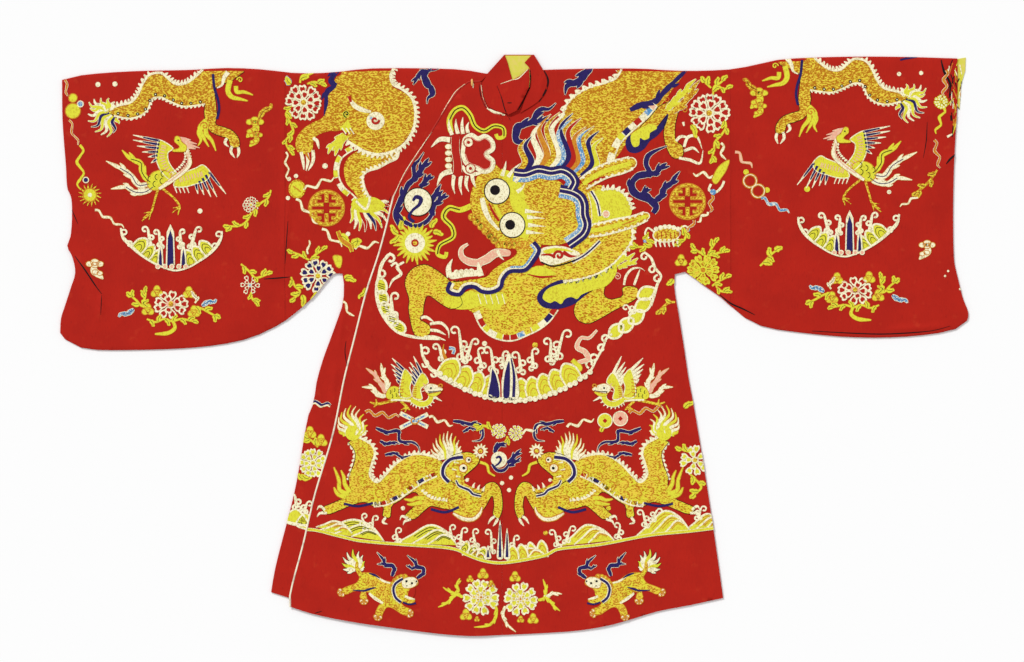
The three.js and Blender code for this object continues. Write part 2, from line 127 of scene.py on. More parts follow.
def spread(values: Sequence[float], count: int) -> list[float]:
    """Stretches a short row of values evenly over a count of places.

    Args:
        values: The row.
        count: How many places it is stretched over.

    Returns:
        One value for each place.
    """
    if len(values) == 1 or count < 2:
        return [values[0]] * count
    made = []
    for i in range(count):
        at = i / (count - 1) * (len(values) - 1)
        low = min(int(at), len(values) - 2)
        made.append(values[low] + (values[low + 1] - values[low]) * (at - low))
    return made


def normals(path: Sequence[Point]) -> list[Point]:
    """The unit normal at each point of a path, to the left of its direction as the chart is seen.

    Args:
        path: The path's points.

    Returns:
        The normals, one for each point.
    """
    made = []
    for i in range(len(path)):
        a, b = path[max(i - 1, 0)], path[min(i + 1, len(path) - 1)]
        length = math.dist(a, b) or 1.0
        made.append(((b[1] - a[1]) / length, -(b[0] - a[0]) / length))
    return made


def offset(path: Sequence[Point], reach: Sequence[float] | float) -> list[Point]:
    """A path moved to its left by a distance, or by one distance for each point."""
    reaches = spread(reach if isinstance(reach, Sequence) else [reach], len(path))
    return [(p[0] + n[0] * r, p[1] + n[1] * r) for p, n, r in zip(path, normals(path), reaches)]


def arc(centre: Point, radius: float, start: float, end: float, count: int) -> list[Point]:
    """Points round an arc, its angles in degrees."""
    return [polar(centre, start + (end - start) * i / (count - 1), radius) for i in range(count)]


def oval(centre: Point, across: float, high: float, turn: float = 0.0, count: int = 20) -> list[Point]:
    """Points round an ellipse with the given half axes, turned by an angle in degrees.

    Args:
        centre: Its middle.
        across: Its half width.
        high: Its half height.
        turn: Its turn in degrees.
        count: How many points it has.

    Returns:
        The points.
    """
    c, s = math.cos(math.radians(turn)), math.sin(math.radians(turn))
    made = []
    for i in range(count):
        angle = math.tau * i / count
        x, y = across * math.cos(angle), high * math.sin(angle)
        made.append((centre[0] + x * c - y * s, centre[1] + x * s + y * c))
    return made


def coil(centre: Point, radius: float, start: float, turns: float, count: int = 16) -> list[Point]:
    """Points along a spiral that winds in from a radius, nearly to the centre.

    Args:
        centre: Its middle.
        radius: Its outer radius.
        start: The angle where it starts, in degrees.
        turns: How many turns it makes.
        count: How many steps it has.

    Returns:
        The points.
    """
    return [
        polar(centre, start + 360 * turns * i / count, radius * (1 - 0.9 * i / count))
        for i in range(count + 1)
    ]


# --- shader maths


@dataclass(frozen=True)
class Socket:
    """A number that a node gives, with the operators of shader maths."""

    tree: bpy.types.NodeTree
    plug: bpy.types.NodeSocket

    def _math(self, operation: str, *values: "Socket | float") -> "Socket":
        """Adds one Math node and returns its result.

        Args:
            operation: What the node does.
            values: What it does that to.

        Returns:
            The node's result.
        """
        made = self.tree.nodes.new("ShaderNodeMath")
        made.operation = operation
        for slot, value in zip(made.inputs, values):
            if isinstance(value, Socket):
                self.tree.links.new(value.plug, slot)
            else:
                slot.default_value = value
        return Socket(self.tree, made.outputs[0])

    def __add__(self, other: "Socket | float") -> "Socket":
        """Sum."""
        return self._math("ADD", self, other)

    __radd__ = __add__

    def __mul__(self, other: "Socket | float") -> "Socket":
        """Product."""
        return self._math("MULTIPLY", self, other)

    __rmul__ = __mul__

    def __sub__(self, other: "Socket | float") -> "Socket":
        """Difference."""
        return self._math("SUBTRACT", self, other)

    def __rsub__(self, other: float) -> "Socket":
        """Difference from a number."""
        return self._math("SUBTRACT", other, self)


Colour = tuple[float, float, float]


class Shader:
    """A material under construction, with one Principled shader."""

    def __init__(self, name: str, roughness: float, sheen: float = 0.0, specular: float = 0.25) -> None:
        """Makes the material and sets what is the same all over it.

        Args:
            name: The material's name.
            roughness: The surface's roughness.
            sheen: The weight of its soft fibre sheen.
            specular: How strongly it reflects.
        """
        self.material = bpy.data.materials.new(name)
        self.material.use_nodes = True
        self.tree = self.material.node_tree
        self.principled = self.tree.nodes["Principled BSDF"]
        self.principled.inputs["Roughness"].default_value = roughness
        self.principled.inputs["Sheen Weight"].default_value = sheen
        self.principled.inputs["Specular IOR Level"].default_value = specular
        self.place = self.node("ShaderNodeTexCoord", out="Object")

    def node(self, kind: str, settings: dict | None = None, inputs: dict | None = None,
            out: str | int = 0) -> Socket:
        """Adds any node.

        Args:
            kind: The node's type.
            settings: Its own settings by name.
            inputs: Values or sockets by input name or number.
            out: The output to return.

        Returns:
            The chosen output.
        """
        made = self.tree.nodes.new(kind)
        for name, value in (settings or {}).items():
            setattr(made, name, value)
        for name, value in (inputs or {}).items():
            if isinstance(value, Socket):
                self.tree.links.new(value.plug, made.inputs[name])
            else:
                made.inputs[name].default_value = value
        return Socket(self.tree, made.outputs[out])

    def noise(self, scale: float, detail: float, stretch: tuple[float, float, float] = (1, 1, 1)) -> Socket:
        """Fractal noise over the surface, about 0.5 in the middle, stretched along the axes."""
        at = self.node("ShaderNodeMapping", None, {"Vector": self.place, "Scale": stretch})
        return self.node("ShaderNodeTexNoise", None, {"Vector": at, "Scale": scale, "Detail": detail}, "Fac")

    def ramp(self, value: Socket, low: float, high: float) -> Socket:
        """Stretches a value so that low gives 0 and high gives 1."""
        return self.node("ShaderNodeMapRange", None, {0: value, 1: low, 2: high, 3: 0.0, 4: 1.0})

    def mix(self, share: Socket | float, first: "Socket | Colour", second: "Socket | Colour") -> Socket:
        """Mixes two colours.

        Args:
            share: How much of the second colour there is.
            first: One colour.
            second: The other.

        Returns:
            The mixed colour.
        """
        full = {6: first, 7: second}
        values = {k: v if isinstance(v, Socket) else (*v, 1.0) for k, v in full.items()}
        return self.node("ShaderNodeMix", {"data_type": "RGBA"}, {0: share, **values}, 2)

    def finish(self, colour: Socket, height: Socket | None = None, bump: float = 0.3,
            depth: float = 0.0003) -> bpy.types.Material:
        """Feeds the colour and the bump.

        Args:
            colour: The base colour.
            height: The relief, 0 to 1.
            bump: How strongly the relief shows.
            depth: The relief's real depth in metres.

        Returns:
            The finished material.
        """
        self.tree.links.new(colour.plug, self.principled.inputs["Base Color"])
        if height:
            relief = self.node("ShaderNodeBump", None,
                {"Height": height, "Strength": bump, "Distance": depth})
            self.tree.links.new(relief.plug, self.principled.inputs["Normal"])
        return self.material


@dataclass(frozen=True)
class Satin:
    """Red silk satin: a fine warp, clouded dye and a little wear."""

    name: str = "red_satin"
    red: Colour = (0.47, 0.017, 0.0085)
    dark: Colour = (0.30, 0.010, 0.007)
    worn: Colour = (0.60, 0.060, 0.020)

    def make(self) -> bpy.types.Material:
        """Builds the material.

        Returns:
            The material.
        """
        s = Shader(self.name, roughness=0.7, specular=0.08)
        warp = s.noise(1400, 2.0, (1, 0.06, 1))
        cloud = s.noise(16, 4.0)
        flecks = s.noise(260, 3.0, (1, 0.35, 1))
        colour = s.mix(s.ramp(cloud, 0.35, 0.75) * 0.35, self.red, self.dark)
        colour = s.mix(s.ramp(flecks, 0.60, 0.80) * 0.55, colour, self.dark)
        colour = s.mix(s.ramp(warp, 0.45, 0.75) * 0.30, colour, self.dark)
        colour = s.mix(s.ramp(s.noise(42, 5.0), 0.62, 0.80) * 0.35, colour, self.worn)
        return s.finish(colour, warp * 0.7 + flecks * 0.3, 0.35, 0.0003)


@dataclass(frozen=True)
class GoldThread:
    """Couched gold thread over orange silk: short wavy stitches, redder towards the shoulders."""

    name: str = "gold_thread"
    bright: Colour = (0.83, 0.62, 0.052)
    lime: Colour = (0.76, 0.70, 0.042)
    orange: Colour = (0.48, 0.165, 0.004)
    skirt: float = 0.10  # the height on the chart, in metres, where the gold is greenest
    sleeve: float = 0.60  # and where it is reddest

    def make(self) -> bpy.types.Material:
        """Builds the material.

        Returns:
            The material.
        """
        s = Shader(self.name, roughness=0.5, specular=0.15)
        height = s.node("ShaderNodeSeparateXYZ", None, {"Vector": s.place}, "Y")
        redder = s.ramp(height, self.skirt, self.sleeve)
        stitches = s.noise(420, 2.0, (0.55, 1, 1)) + redder * 0.080
        knots = s.noise(240, 1.0, (1, 1, 1))
        colour = s.mix(s.ramp(s.noise(60, 2.0), 0.42, 0.58) * (1 - redder * 0.8), self.bright, self.lime)
        colour = s.mix(s.ramp(stitches, 0.494, 0.584), colour, self.orange)
        colour = s.mix(s.ramp(knots, 0.62, 0.70) * 0.7, colour, self.lime)
        return s.finish(colour, stitches, 0.5, 0.0005)


@dataclass(frozen=True)
class SilkThread:
    """Floss silk in satin stitch: a plain colour with the flecks of its stitches."""

    name: str
    colour: Colour
    shade: Colour
    share: float = 0.5

    def make(self) -> bpy.types.Material:
        """Builds the material.

        Returns:
            The material.
        """
        s = Shader(self.name, roughness=0.6, specular=0.12)
        stitch = s.noise(420, 2.0, (1, 0.6, 1))
        patch = s.noise(110, 2.0)
        colour = s.mix(s.ramp(stitch, 0.52, 0.64) * self.share, self.colour, self.shade)
        colour = s.mix(s.ramp(patch, 0.55, 0.70) * self.share * 0.5, colour, self.shade)
        return s.finish(colour, stitch, 0.3, 0.0003)


class Thread(Enum):
    """The embroidery's threads, in the order of their material slots."""

    GOLD = 0
    CREAM = 1
    LIME = 2
    BLUE = 3
    SKY = 4
    PINK = 5
    ORANGE = 6
    DARK = 7
    RED = 8


GOLD, CREAM, LIME, BLUE, SKY, PINK, ORANGE, DARK, RED = Thread


def thread_materials() -> list[bpy.types.Material]:
    """Makes one material for each thread, in slot order.

    Returns:
        The materials.
    """
    silks = {
        CREAM: ((0.97, 0.91, 0.62), (0.50, 0.39, 0.17), 0.75),
        LIME: ((0.76, 0.74, 0.045), (0.50, 0.33, 0.020), 0.55),
        BLUE: ((0.024, 0.015, 0.115), (0.010, 0.007, 0.050), 0.6),
        SKY: ((0.09, 0.27, 0.52), (0.84, 0.85, 0.72), 1.0),
        PINK: ((0.84, 0.42, 0.29), (0.86, 0.68, 0.42), 0.8),
        ORANGE: ((0.64, 0.27, 0.020), (0.50, 0.09, 0.012), 0.8),
        DARK: ((0.006, 0.004, 0.006), (0.04, 0.015, 0.01), 0.4),
        RED: ((0.46, 0.016, 0.008), (0.30, 0.010, 0.007), 0.3),
    }
    made = []
    for thread in Thread:
        if thread is GOLD:
            made.append(GoldThread().make())
        else:
            made.append(SilkThread(f"{thread.name.lower()}_silk", *silks[thread]).make())
    return made


# --- cloth


@dataclass(frozen=True)
class Crease:
    """A sharp soft-sided ridge in the laid cloth, between two places on the chart."""

    start: Point
    end: Point
    height: float = 2.0 * MM
    width: float = 7.0 * MM

    def nearest(self, x: float, y: float) -> tuple[float, float]:
        """The share of the ridge that lies before a place in metres, and the place's distance from it.

        Args:
            x: The place across.
            y: The place along.

        Returns:
            The share and the distance.
        """
        (ax, ay), (bx, by) = metres(self.start), metres(self.end)
        run = (bx - ax) ** 2 + (by - ay) ** 2
        share = min(max(((x - ax) * (bx - ax) + (y - ay) * (by - ay)) / run, 0.0), 1.0)
        return share, math.hypot(x - ax - share * (bx - ax), y - ay - share * (by - ay))

    def lift(self, x: float, y: float) -> float:
        """The ridge's height at a place in metres.

        Args:
            x: The place across.
            y: The place along.

        Returns:
            The height.
        """
        share, away = self.nearest(x, y)
        if away >= 3 * self.width:
            return 0.0
        low = 0.1  # what is left of the height at both ends, from which it grows over nearly a quarter
        taper = min(1.0, 4 * share + low, 4 * (1 - share) + low)
        return self.height * taper * math.exp(-((away / self.width) ** 1.5))


@dataclass
class LaidCloth:
    """The robe's cloth: each cut piece as a finer shell, with its creases."""

    pitch: float = 11 * MM  # spacing of the grid that the cloth is cut on
    clear: float = 0.01  # a grid line nearer to the piece's end than this share of the pitch is left out
    weld: float = 1e-6  # points nearer than this are one
    flat: float = 0.0005  # faces that meet at less than this angle, in radians, are joined before the cuts
    fine: float = 16 * MM  # cloth this near a crease gets a finer grid
    front: float = 1.65 * MM  # cloth above this is a front layer
    short: float = 4 * MM  # an edge shorter than this is left as it is
    smooth_under: float = 35.0  # edges sharper than this, in degrees, stay sharp
    creases: tuple[Crease, ...] = (
        Crease((75, 255), (103, 293), 2.6 * MM),
        Crease((102, 292), (101, 318), 2.2 * MM),
        Crease((284, 92), (284, 268), 1.0 * MM, 5 * MM),
        Crease((290, 182), (286, 262), 1.6 * MM),
        Crease((263, 279), (292, 277), 1.8 * MM),
        Crease((345, 300), (338, 352), 1.8 * MM),
        Crease((336, 362), (330, 430), 1.4 * MM),
        Crease((298, 560), (303, 590), 1.4 * MM),
        Crease((730, 95), (731, 300), 1.0 * MM, 5 * MM),
        Crease((720, 296), (755, 313), 2.4 * MM),
        Crease((880, 330), (955, 326), 2.2 * MM),
        Crease((941, 62), (950, 100), 2.0 * MM, 6 * MM),
        Crease((925, 130), (926, 160), 1.8 * MM, 6 * MM),
        Crease((945, 165), (955, 154), 2.2 * MM, 6 * MM),
        Crease((675, 300), (679, 345), 1.2 * MM),
        Crease((395, 96), (372, 130), 1.0 * MM),
        Crease((530, 70), (517, 112), 1.6 * MM, 5 * MM),
        Crease((544, 71), (538, 103), 1.6 * MM, 5 * MM),
        Crease((500, 86), (510, 120), 1.0 * MM, 4 * MM),
    )

    def refine(self, node: str, material: bpy.types.Material) -> bpy.types.Object:
        """Makes the fine shell of one cut piece.

        Args:
            node: The piece's name.
            material: Its finish.

        Returns:
            The shell, which stands for the node.
        """
        shape = bmesh.new()
        shape.from_mesh(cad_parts[node].data)
        bmesh.ops.remove_doubles(shape, verts=shape.verts, dist=self.weld)
        bmesh.ops.dissolve_limit(shape, angle_limit=self.flat, verts=shape.verts, edges=shape.edges)
        low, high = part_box(node)
        for axis in (0, 1):
            first = math.ceil(low[axis] / self.pitch + self.clear)
            last = math.floor(high[axis] / self.pitch - self.clear)
            normal = (1, 0, 0) if axis == 0 else (0, 1, 0)
            for i in range(first, last + 1):
                at = [i * self.pitch * part for part in normal]
                parts = shape.verts[:] + shape.edges[:] + shape.faces[:]
                bmesh.ops.bisect_plane(shape, geom=parts, plane_co=at, plane_no=normal, dist=self.weld)
        edges = [e for e in shape.edges if self._wants_cuts(e)]
        bmesh.ops.subdivide_edges(shape, edges=edges, cuts=2, use_grid_fill=True)
        bmesh.ops.triangulate(shape, faces=[f for f in shape.faces if len(f.verts) > 4])
        for vert in shape.verts:
            if vert.co.z > self.front:
                vert.co.z += sum(crease.lift(vert.co.x, vert.co.y) for crease in self.creases)
        mesh = bpy.data.meshes.new(f"{node}_cloth")
        shape.to_mesh(mesh)
        shape.free()
        mesh.materials.append(material)
        piece = bpy.data.objects.new(f"{node}_cloth", mesh)
        bpy.context.scene.collection.objects.link(piece)
        mesh.shade_smooth()
        mesh.set_sharp_from_angle(angle=math.radians(self.smooth_under))
        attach(piece, "root")
        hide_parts(node)
        return piece

    def _wants_cuts(self, edge: bmesh.types.BMEdge) -> bool:
        """Whether a long enough edge of a front layer lies beside a crease.

        Args:
            edge: An edge of the shell.

        Returns:
            Whether it is to be cut.
        """
        middle = (edge.verts[0].co + edge.verts[1].co) / 2
        if middle.z <= self.front or edge.calc_length() <= self.short:
            return False
        return any(crease.nearest(middle.x, middle.y)[1] < self.fine for crease in self.creases)


class Ground:
    """The uppermost cloth surface, which the embroidery is sewn to."""

    above: float = 50 * MM  # the height that it is looked down on from
    nudge: float = 0.4 * MM  # how far to the side it is tried again where a seam lets a look through

    def __init__(self, pieces: Iterable[bpy.types.Object]) -> None:
        """Gathers the surface of every cloth piece.

        Args:
            pieces: The cloth pieces.
        """
        corners: list[Vector] = []
        faces: list[tuple[int, ...]] = []
        self.owner: list[str] = []
        for piece in pieces:
            first = len(corners)
            corners.extend(v.co.copy() for v in piece.data.vertices)
            for polygon in piece.data.polygons:
                faces.append(tuple(first + i for i in polygon.vertices))
                self.owner.append(piece.name.removesuffix("_cloth"))
        self.tree = BVHTree.FromPolygons(corners, faces)

    def height(self, x: float, y: float, panels: frozenset[str]) -> float | None:
        """Height of the cloth at a place, or None where no wanted panel is uppermost.

        Args:
            x: The place across, in metres.
            y: The place along.
            panels: The wanted panels.

        Returns:
            The height, or None.
        """
        for nudge in (0.0, self.nudge, -self.nudge):
            found, _, index, _ = self.tree.ray_cast(Vector((x + nudge, y, self.above)), Vector((0, 0, -1)))
            if found is not None:
                return found.z if self.owner[index] in panels else None
        return None


# --- needlework


class Needlework:
    """One embroidered field: it sews flat fills and raised lines on to some of the panels."""

    lift: float = 0.30 * MM  # the lowest stitches over the cloth
    layer: float = 0.12 * MM  # each layer of stitches over the last
    rise: float = 0.11 * MM  # how far the middle of a line stands over its edges at most
    grid: float = 4.5  # chart squares between the points inside a fill
    near: float = 1e-4  # chart points nearer to each other than this are one
    slope: float = 0.25  # how far a narrow line stands up, as a share of half its width
    finest: float = 0.05  # chart squares across the narrowest line
    halvings: int = 7  # how often the way to a panel's edge is halved to find it

    def __init__(self, name: str, ground: Ground, panels: Iterable[str]) -> None:
        """Starts an empty field.

        Args:
            name: The piece's name.
            ground: The cloth under it.
            panels: The panels that it is sewn to. It is cut off at their edges.
        """
        self.name = name
        self.ground = ground
        self.panels = frozenset(panels)
        self.mirror: float | None = None
        self.shift: Point = (0.0, 0.0)
        self.places: list[Point] = []
        self.lifts: list[float] = []
        self.faces: list[tuple[int, int, int]] = []
        self.slots: list[int] = []

    @contextmanager
    def moved(self, mirror: float, shift: Point = (0.0, 0.0)) -> Iterator[None]:
        """Turns what is sewn inside it over about an upright line, and then shifts it.

        Args:
            mirror: Where the line stands on the chart.
            shift: How far it is shifted right and down.
        """
        self.mirror, self.shift = mirror, shift
        yield
        self.mirror, self.shift = None, (0.0, 0.0)

    def _on_chart(self, point: Point) -> Point:
        """Where a point lies on the chart once it is turned over and shifted."""
        x = point[0] if self.mirror is None else 2 * self.mirror - point[0]
        return x + self.shift[0], point[1] + self.shift[1]

    def _add(self, places: Sequence[Point], lifts: Sequence[float], faces: Iterable[Sequence[int]],
            thread: Thread) -> None:
        """Adds vertices, given on the chart, and their triangles.

        Args:
            places: The vertices.
            lifts: How far each lies over the cloth.
            faces: The triangles, as numbers into the places.
            thread: Their thread.
        """
        first = len(self.places)
        self.places.extend(metres(self._on_chart(p)) for p in places)
        self.lifts.extend(lifts)
        for face in faces:
            self.faces.append(tuple(first + i for i in face))
            self.slots.append(thread.value)

    def fill(self, outline: Sequence[Point], thread: Thread, level: int, edge: Thread | None = None,
            width: float = 1.3) -> None:
        """Fills an outline.

        Args:
            outline: Its points, closed by itself, already smooth.
            thread: The thread of the fill.
            level: How many layers it lies up.
            edge: The thread of a raised line round it, if any.
            width: The width of that line.
        """
        points = [Vector(p) for p in outline]
        xs, ys = [p.x for p in points], [p.y for p in points]
        grid = self.grid
        for i in range(math.ceil(min(xs) / grid), math.floor(max(xs) / grid) + 1):
            for j in range(math.ceil(min(ys) / grid), math.floor(max(ys) / grid) + 1):
                points.append(Vector(((i + 0.5 * (j % 2)) * grid, j * grid)))
        count = len(outline)
        rim = [(i, (i + 1) % count) for i in range(count)]
        made, _, faces, *_ = delaunay_2d_cdt(points, rim, [], 1, self.near)
        base = self.lift + level * self.layer
        self._add([tuple(p) for p in made], [base] * len(made), faces, thread)
        if edge:
            self.line([*outline, outline[0]], [width], edge, level + 1)

    def line(self, path: Sequence[Point], widths: Sequence[float], thread: Thread, level: int) -> None:
        """Sews a raised line of changing width along a smooth path.

        Args:
            path: Its points, already smooth.
            widths: Its widths, spread evenly along it.
            thread: Its thread.
            level: How many layers up it lies.
        """
        count = len(path)
        halves = [max(w, self.finest) / 2 for w in spread(widths, count)]
        left = offset(path, halves)
        right = offset(path, [-h for h in halves])
        base = self.lift + level * self.layer
        places: list[Point] = []
        lifts: list[float] = []
        for a, b, c, half in zip(left, path, right, halves):
            places += [a, b, c]
            lifts += [base, base + min(half * self.slope * CHART_SQUARE, self.rise), base]
        faces = []
        for i in range(count - 1):
            a, b = 3 * i, 3 * i + 3
            faces += [(a, b, a + 1), (b, b + 1, a + 1), (a + 1, b + 1, a + 2), (b + 1, b + 2, a + 2)]
        self._add(places, lifts, faces, thread)

    def shape(self, points: Sequence[Point], thread: Thread, level: int = 0, edge: Thread | None = None,
            width: float = 1.3) -> None:
        """Fills the smooth closed outline through a few points."""
        self.fill(smooth(points, closed=True), thread, level, edge, width)

    def stroke(self, points: Sequence[Point], widths: Sequence[float], thread: Thread, level: int,
            casing: Thread | None = None, rim: float = 0.9) -> None:
        """Sews a smooth line through a few points, over a slightly wider casing if one is named.

        Args:
            points: The points that it passes.
            widths: Its widths, spread evenly along it.
            thread: Its thread.
            level: How many layers up it lies.
            casing: The thread of the casing, if any.
            rim: How far the casing shows on each side.
        """
        path = smooth(points)
        if casing:
            self.line(path, [w + 2 * rim for w in widths], casing, level)
            level += 1
        self.line(path, widths, thread, level)

    def disc(self, centre: Point, radius: float, thread: Thread, level: int = 1,
            edge: Thread | None = None) -> None:
        """Fills a circle."""
        self.fill(oval(centre, radius, radius, count=max(8, round(radius * 4))), thread, level, edge, 1.0)

    def saw(self, points: Sequence[Point], depth: float, pitch: float, thread: Thread,
            level: int = 1) -> None:
        """Sews a row of teeth along a path.

        Args:
            points: The path.
            depth: How far the teeth reach to the path's left, or right if negative.
            pitch: Their spacing.
            thread: Their thread.
            level: How many layers up they lie.
        """
        path = smooth(points)
        lean = 0.35  # how far each tip leans along the path, as a share of the pitch
        count = max(1, round(sum(math.dist(a, b) for a, b in zip(path, path[1:])) / pitch))
        step = (len(path) - 1) / count
        ways = normals(path)
        for i in range(count):
            a, b = path[round(i * step)], path[round((i + 1) * step)]
            n = ways[round((i + 0.5) * step)]
            tip = along(a, b, 0.5 + lean)
            tip = (tip[0] + n[0] * depth, tip[1] + n[1] * depth)
            side = (along(a, tip, 0.6)[0] + n[0] * depth * 0.3, along(a, tip, 0.6)[1] + n[1] * depth * 0.3)
            root = (along(a, b, 0.5)[0] - n[0] * depth * 0.35, along(a, b, 0.5)[1] - n[1] * depth * 0.35)
            self.fill([a, side, tip, b, root], thread, level)

    def stripes(self, outer: Sequence[Point], reach: float, threads: Sequence[Thread]) -> None:
        """Sews cross bands inside an edge, one for each thread named, with cream lines between.

        Args:
            outer: The edge.
            reach: How far the bands reach to its left, or right if negative.
            threads: The bands' threads in order.
        """
        path = smooth(outer)
        inner = offset(path, reach)
        step = (len(path) - 1) / len(threads)
        for i, thread in enumerate(threads):
            low, high = round(i * step), round((i + 1) * step)
            self.fill([*path[low : high + 1], *reversed(inner[low : high + 1])], thread, 1)
            self.line([path[low], inner[low]], [0.9], CREAM, 2)
        self.line(path, [1.5], CREAM, 2)

    def hook(self, start: Point, heading: float, radius: float, side: int, width: float, thread: Thread,
            level: int = 2) -> None:
        """Sews a curl of foam that leaves a place at a heading, in degrees, and winds in to one side.

        Args:
            start: Where it starts.
            heading: The way that it leaves.
            radius: The size of the curl.
            side: 1 to wind in clockwise, -1 for the other way.
            width: Its width.
            thread: Its thread.
            level: How many layers up it lies.
        """
        centre = polar(start, heading + 90 * side, radius)
        sweep, shrink, steps = 300, 0.55, 12
        path = [
            polar(centre, heading - 90 * side + side * sweep * t, radius * (1 - shrink * t))
            for t in (i / steps for i in range(steps + 1))
        ]
        self.line(path, [width * 0.8, width, width * 0.8, width * 1.1], thread, level)

    def hump(self, left: Point, right: Point, rise: float, level: int, ink: Thread) -> None:
        """Sews one rounded hump of a wave: a lime arch over its two feet, with a cream edge and two ribs.

        Args:
            left: Its left foot.
            right: Its right foot.
            rise: How far it stands over the line between them.
            level: How many layers up it lies.
            ink: The thread of its ribs.
        """
        run = (right[0] - left[0], right[1] - left[1])
        span = math.hypot(*run)
        up = (run[1] / span, -run[0] / span)
        for k in range(3):
            size = 1 - 0.27 * k
            arch = [
                (left[0] + run[0] * (0.5 + size * x) + up[0] * rise * size * y,
                 left[1] + run[1] * (0.5 + size * x) + up[1] * rise * size * y)
                for x, y in ((-0.5, 0), (-0.47, 0.62), (0, 1), (0.47, 0.62), (0.5, 0))
            ]
            if k == 0:
                self.fill(smooth(arch), LIME, level)
                self.stroke(arch, [1.6, 2.0, 1.6], CREAM, level + 1)
            else:
                self.stroke(arch, [0.3, 0.7, 0.3], ink, level + 1)

    def spray(self, root: Point, tip: Point, size: float, side: int, width: float) -> None:
        """Sews a wave's spray: a stem with a curl at its tip and smaller ones beside it.

        Args:
            root: Where the stem starts.
            tip: Where it ends.
            size: The size of the curl at its tip.
            side: The way that curl winds, as for a hook.
            width: The width of the curls.
        """
        heading = math.degrees(math.atan2(tip[1] - root[1], tip[0] - root[0]))
        self.stroke([root, along(root, tip, 0.5), tip], [width * 1.9, width * 1.4, width], CREAM, 2)
        self.hook(tip, heading, size, side, width, CREAM, 3)
        for share, turn, way, part in ((0.6, 35, -1, 0.85), (0.25, 50, 1, 0.8), (0.1, 55, -1, 0.75)):
            self.hook(along(root, tip, share),
                heading + turn * side * way, size * part, side * way, width, CREAM, 3)

    def flame(
        self, points: Sequence[Point], width: float, thread: Thread = BLUE, level: int = 2,
        casing: Thread | None = CREAM,
    ) -> None:
        """Sews a flickering tongue with barbs and a fine pale edge: wide and narrow by turns, and pointed.

        Args:
            points: The points that it passes.
            width: Its middling width.
            thread: Its thread.
            level: How many layers up it lies.
            casing: The thread of its edge, if it has one.
        """
        path = smooth(points)
        ways = normals(path)
        barb_places = (0.15, 0.38, 0.6)
        for k, share in enumerate(barb_places):
            i, side = round(share * (len(path) - 1)), (1 if k % 2 else -1)
            near, far = (path[min(i + round(width * step), len(path) - 1)] for step in (0.5, 1.25))
            out = (ways[i][0] * side * width, ways[i][1] * side * width)
            barb = [path[i], (near[0] + out[0] * 0.55, near[1] + out[1] * 0.55),
                (far[0] + out[0], far[1] + out[1])]
            self.stroke(barb, [width * 0.9, width * 0.8, width * 0.55, 0.3], thread, level, casing, 0.4)
        pulse = [0.7, 1.25, 0.95, 1.3, 0.9, 1.15, 0.75, 0.85, 0.45, 0.1]
        self.stroke(points, [p * width for p in pulse], thread, level, casing, 0.4)

    def tuft(
        self, roots: tuple[Point, Point], tips: Sequence[Point], threads: Sequence[Thread], width: float,
        level: int, bend: float = 0.12, casing: Thread = CREAM,
    ) -> None:
        """Sews waving strands of hair, from evenly along a root line to a tip each.

        Args:
            roots: The ends of the root line.
            tips: Where the strands end.
            threads: Their threads, by turns.
            width: Their width at the root.
            level: How many layers up they lie.
            bend: How far they wave, as a share of their length.
            casing: The thread of their edges.
        """
        for i, tip in enumerate(tips):
            root = along(*roots, i / max(1, len(tips) - 1))
            run = (tip[0] - root[0], tip[1] - root[1])
            third, late = along(root, tip, 0.33), along(root, tip, 0.7)
            path = [root, (third[0] - run[1] * bend, third[1] + run[0] * bend),
                    (late[0] + run[1] * bend, late[1] - run[0] * bend), tip]
            self.stroke(path, [width, width, width * 0.7, 0.2], threads[i % len(threads)],
                level, casing, 0.45)

    def claws(self, talons: Iterable[Sequence[Point]], width: float = 2.6) -> None:
        """Sews curved cream talons, each wide at its root and pointed."""
        for talon in talons:
            self.stroke(talon, [width, width * 1.2, width * 0.9, 0.3], CREAM, 2)

    def finish(self, materials: Sequence[bpy.types.Material]) -> bpy.types.Object:
        """Lays everything on the cloth, cuts it off at the panels' edges and makes the piece.

        Args:
            materials: The threads' materials, in slot order.

        Returns:
            The piece.
        """
        heights = [self.ground.height(x, y, self.panels) for x, y in self.places]
        around: dict[int, set[int]] = {}
        kept, slots = [], []
        for face, slot in zip(self.faces, self.slots):
            inside = [i for i in face if heights[i] is not None]
            if not inside:
                continue
            kept.append(face)
            slots.append(slot)
            for i in face:
                if heights[i] is None:
                    around.setdefault(i, set()).update(inside)
        places = list(self.places)
        final = list(heights)
        for i, inside in around.items():
            start = min(inside, key=lambda k: math.dist(self.places[k], self.places[i]))
            places[i], final[i] = self._to_edge(self.places[start], self.places[i], heights[start])
        used = sorted({i for face in kept for i in face})
        number = {old: new for new, old in enumerate(used)}
        mesh = bpy.data.meshes.new(self.name)
        mesh.from_pydata(
            [(*places[i], final[i] + self.lifts[i]) for i in used],
            [],
            [tuple(number[i] for i in self._facing_up(face, places)) for face in kept],
        )
        for material in materials:
            mesh.materials.append(material)
        mesh.polygons.foreach_set("material_index", slots)
        mesh.shade_smooth()
        mesh.validate()
        piece = bpy.data.objects.new(self.name, mesh)
        bpy.context.scene.collection.objects.link(piece)
        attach(piece, "root")
        log.info("%s: %d triangles", self.name, len(kept))
        return piece

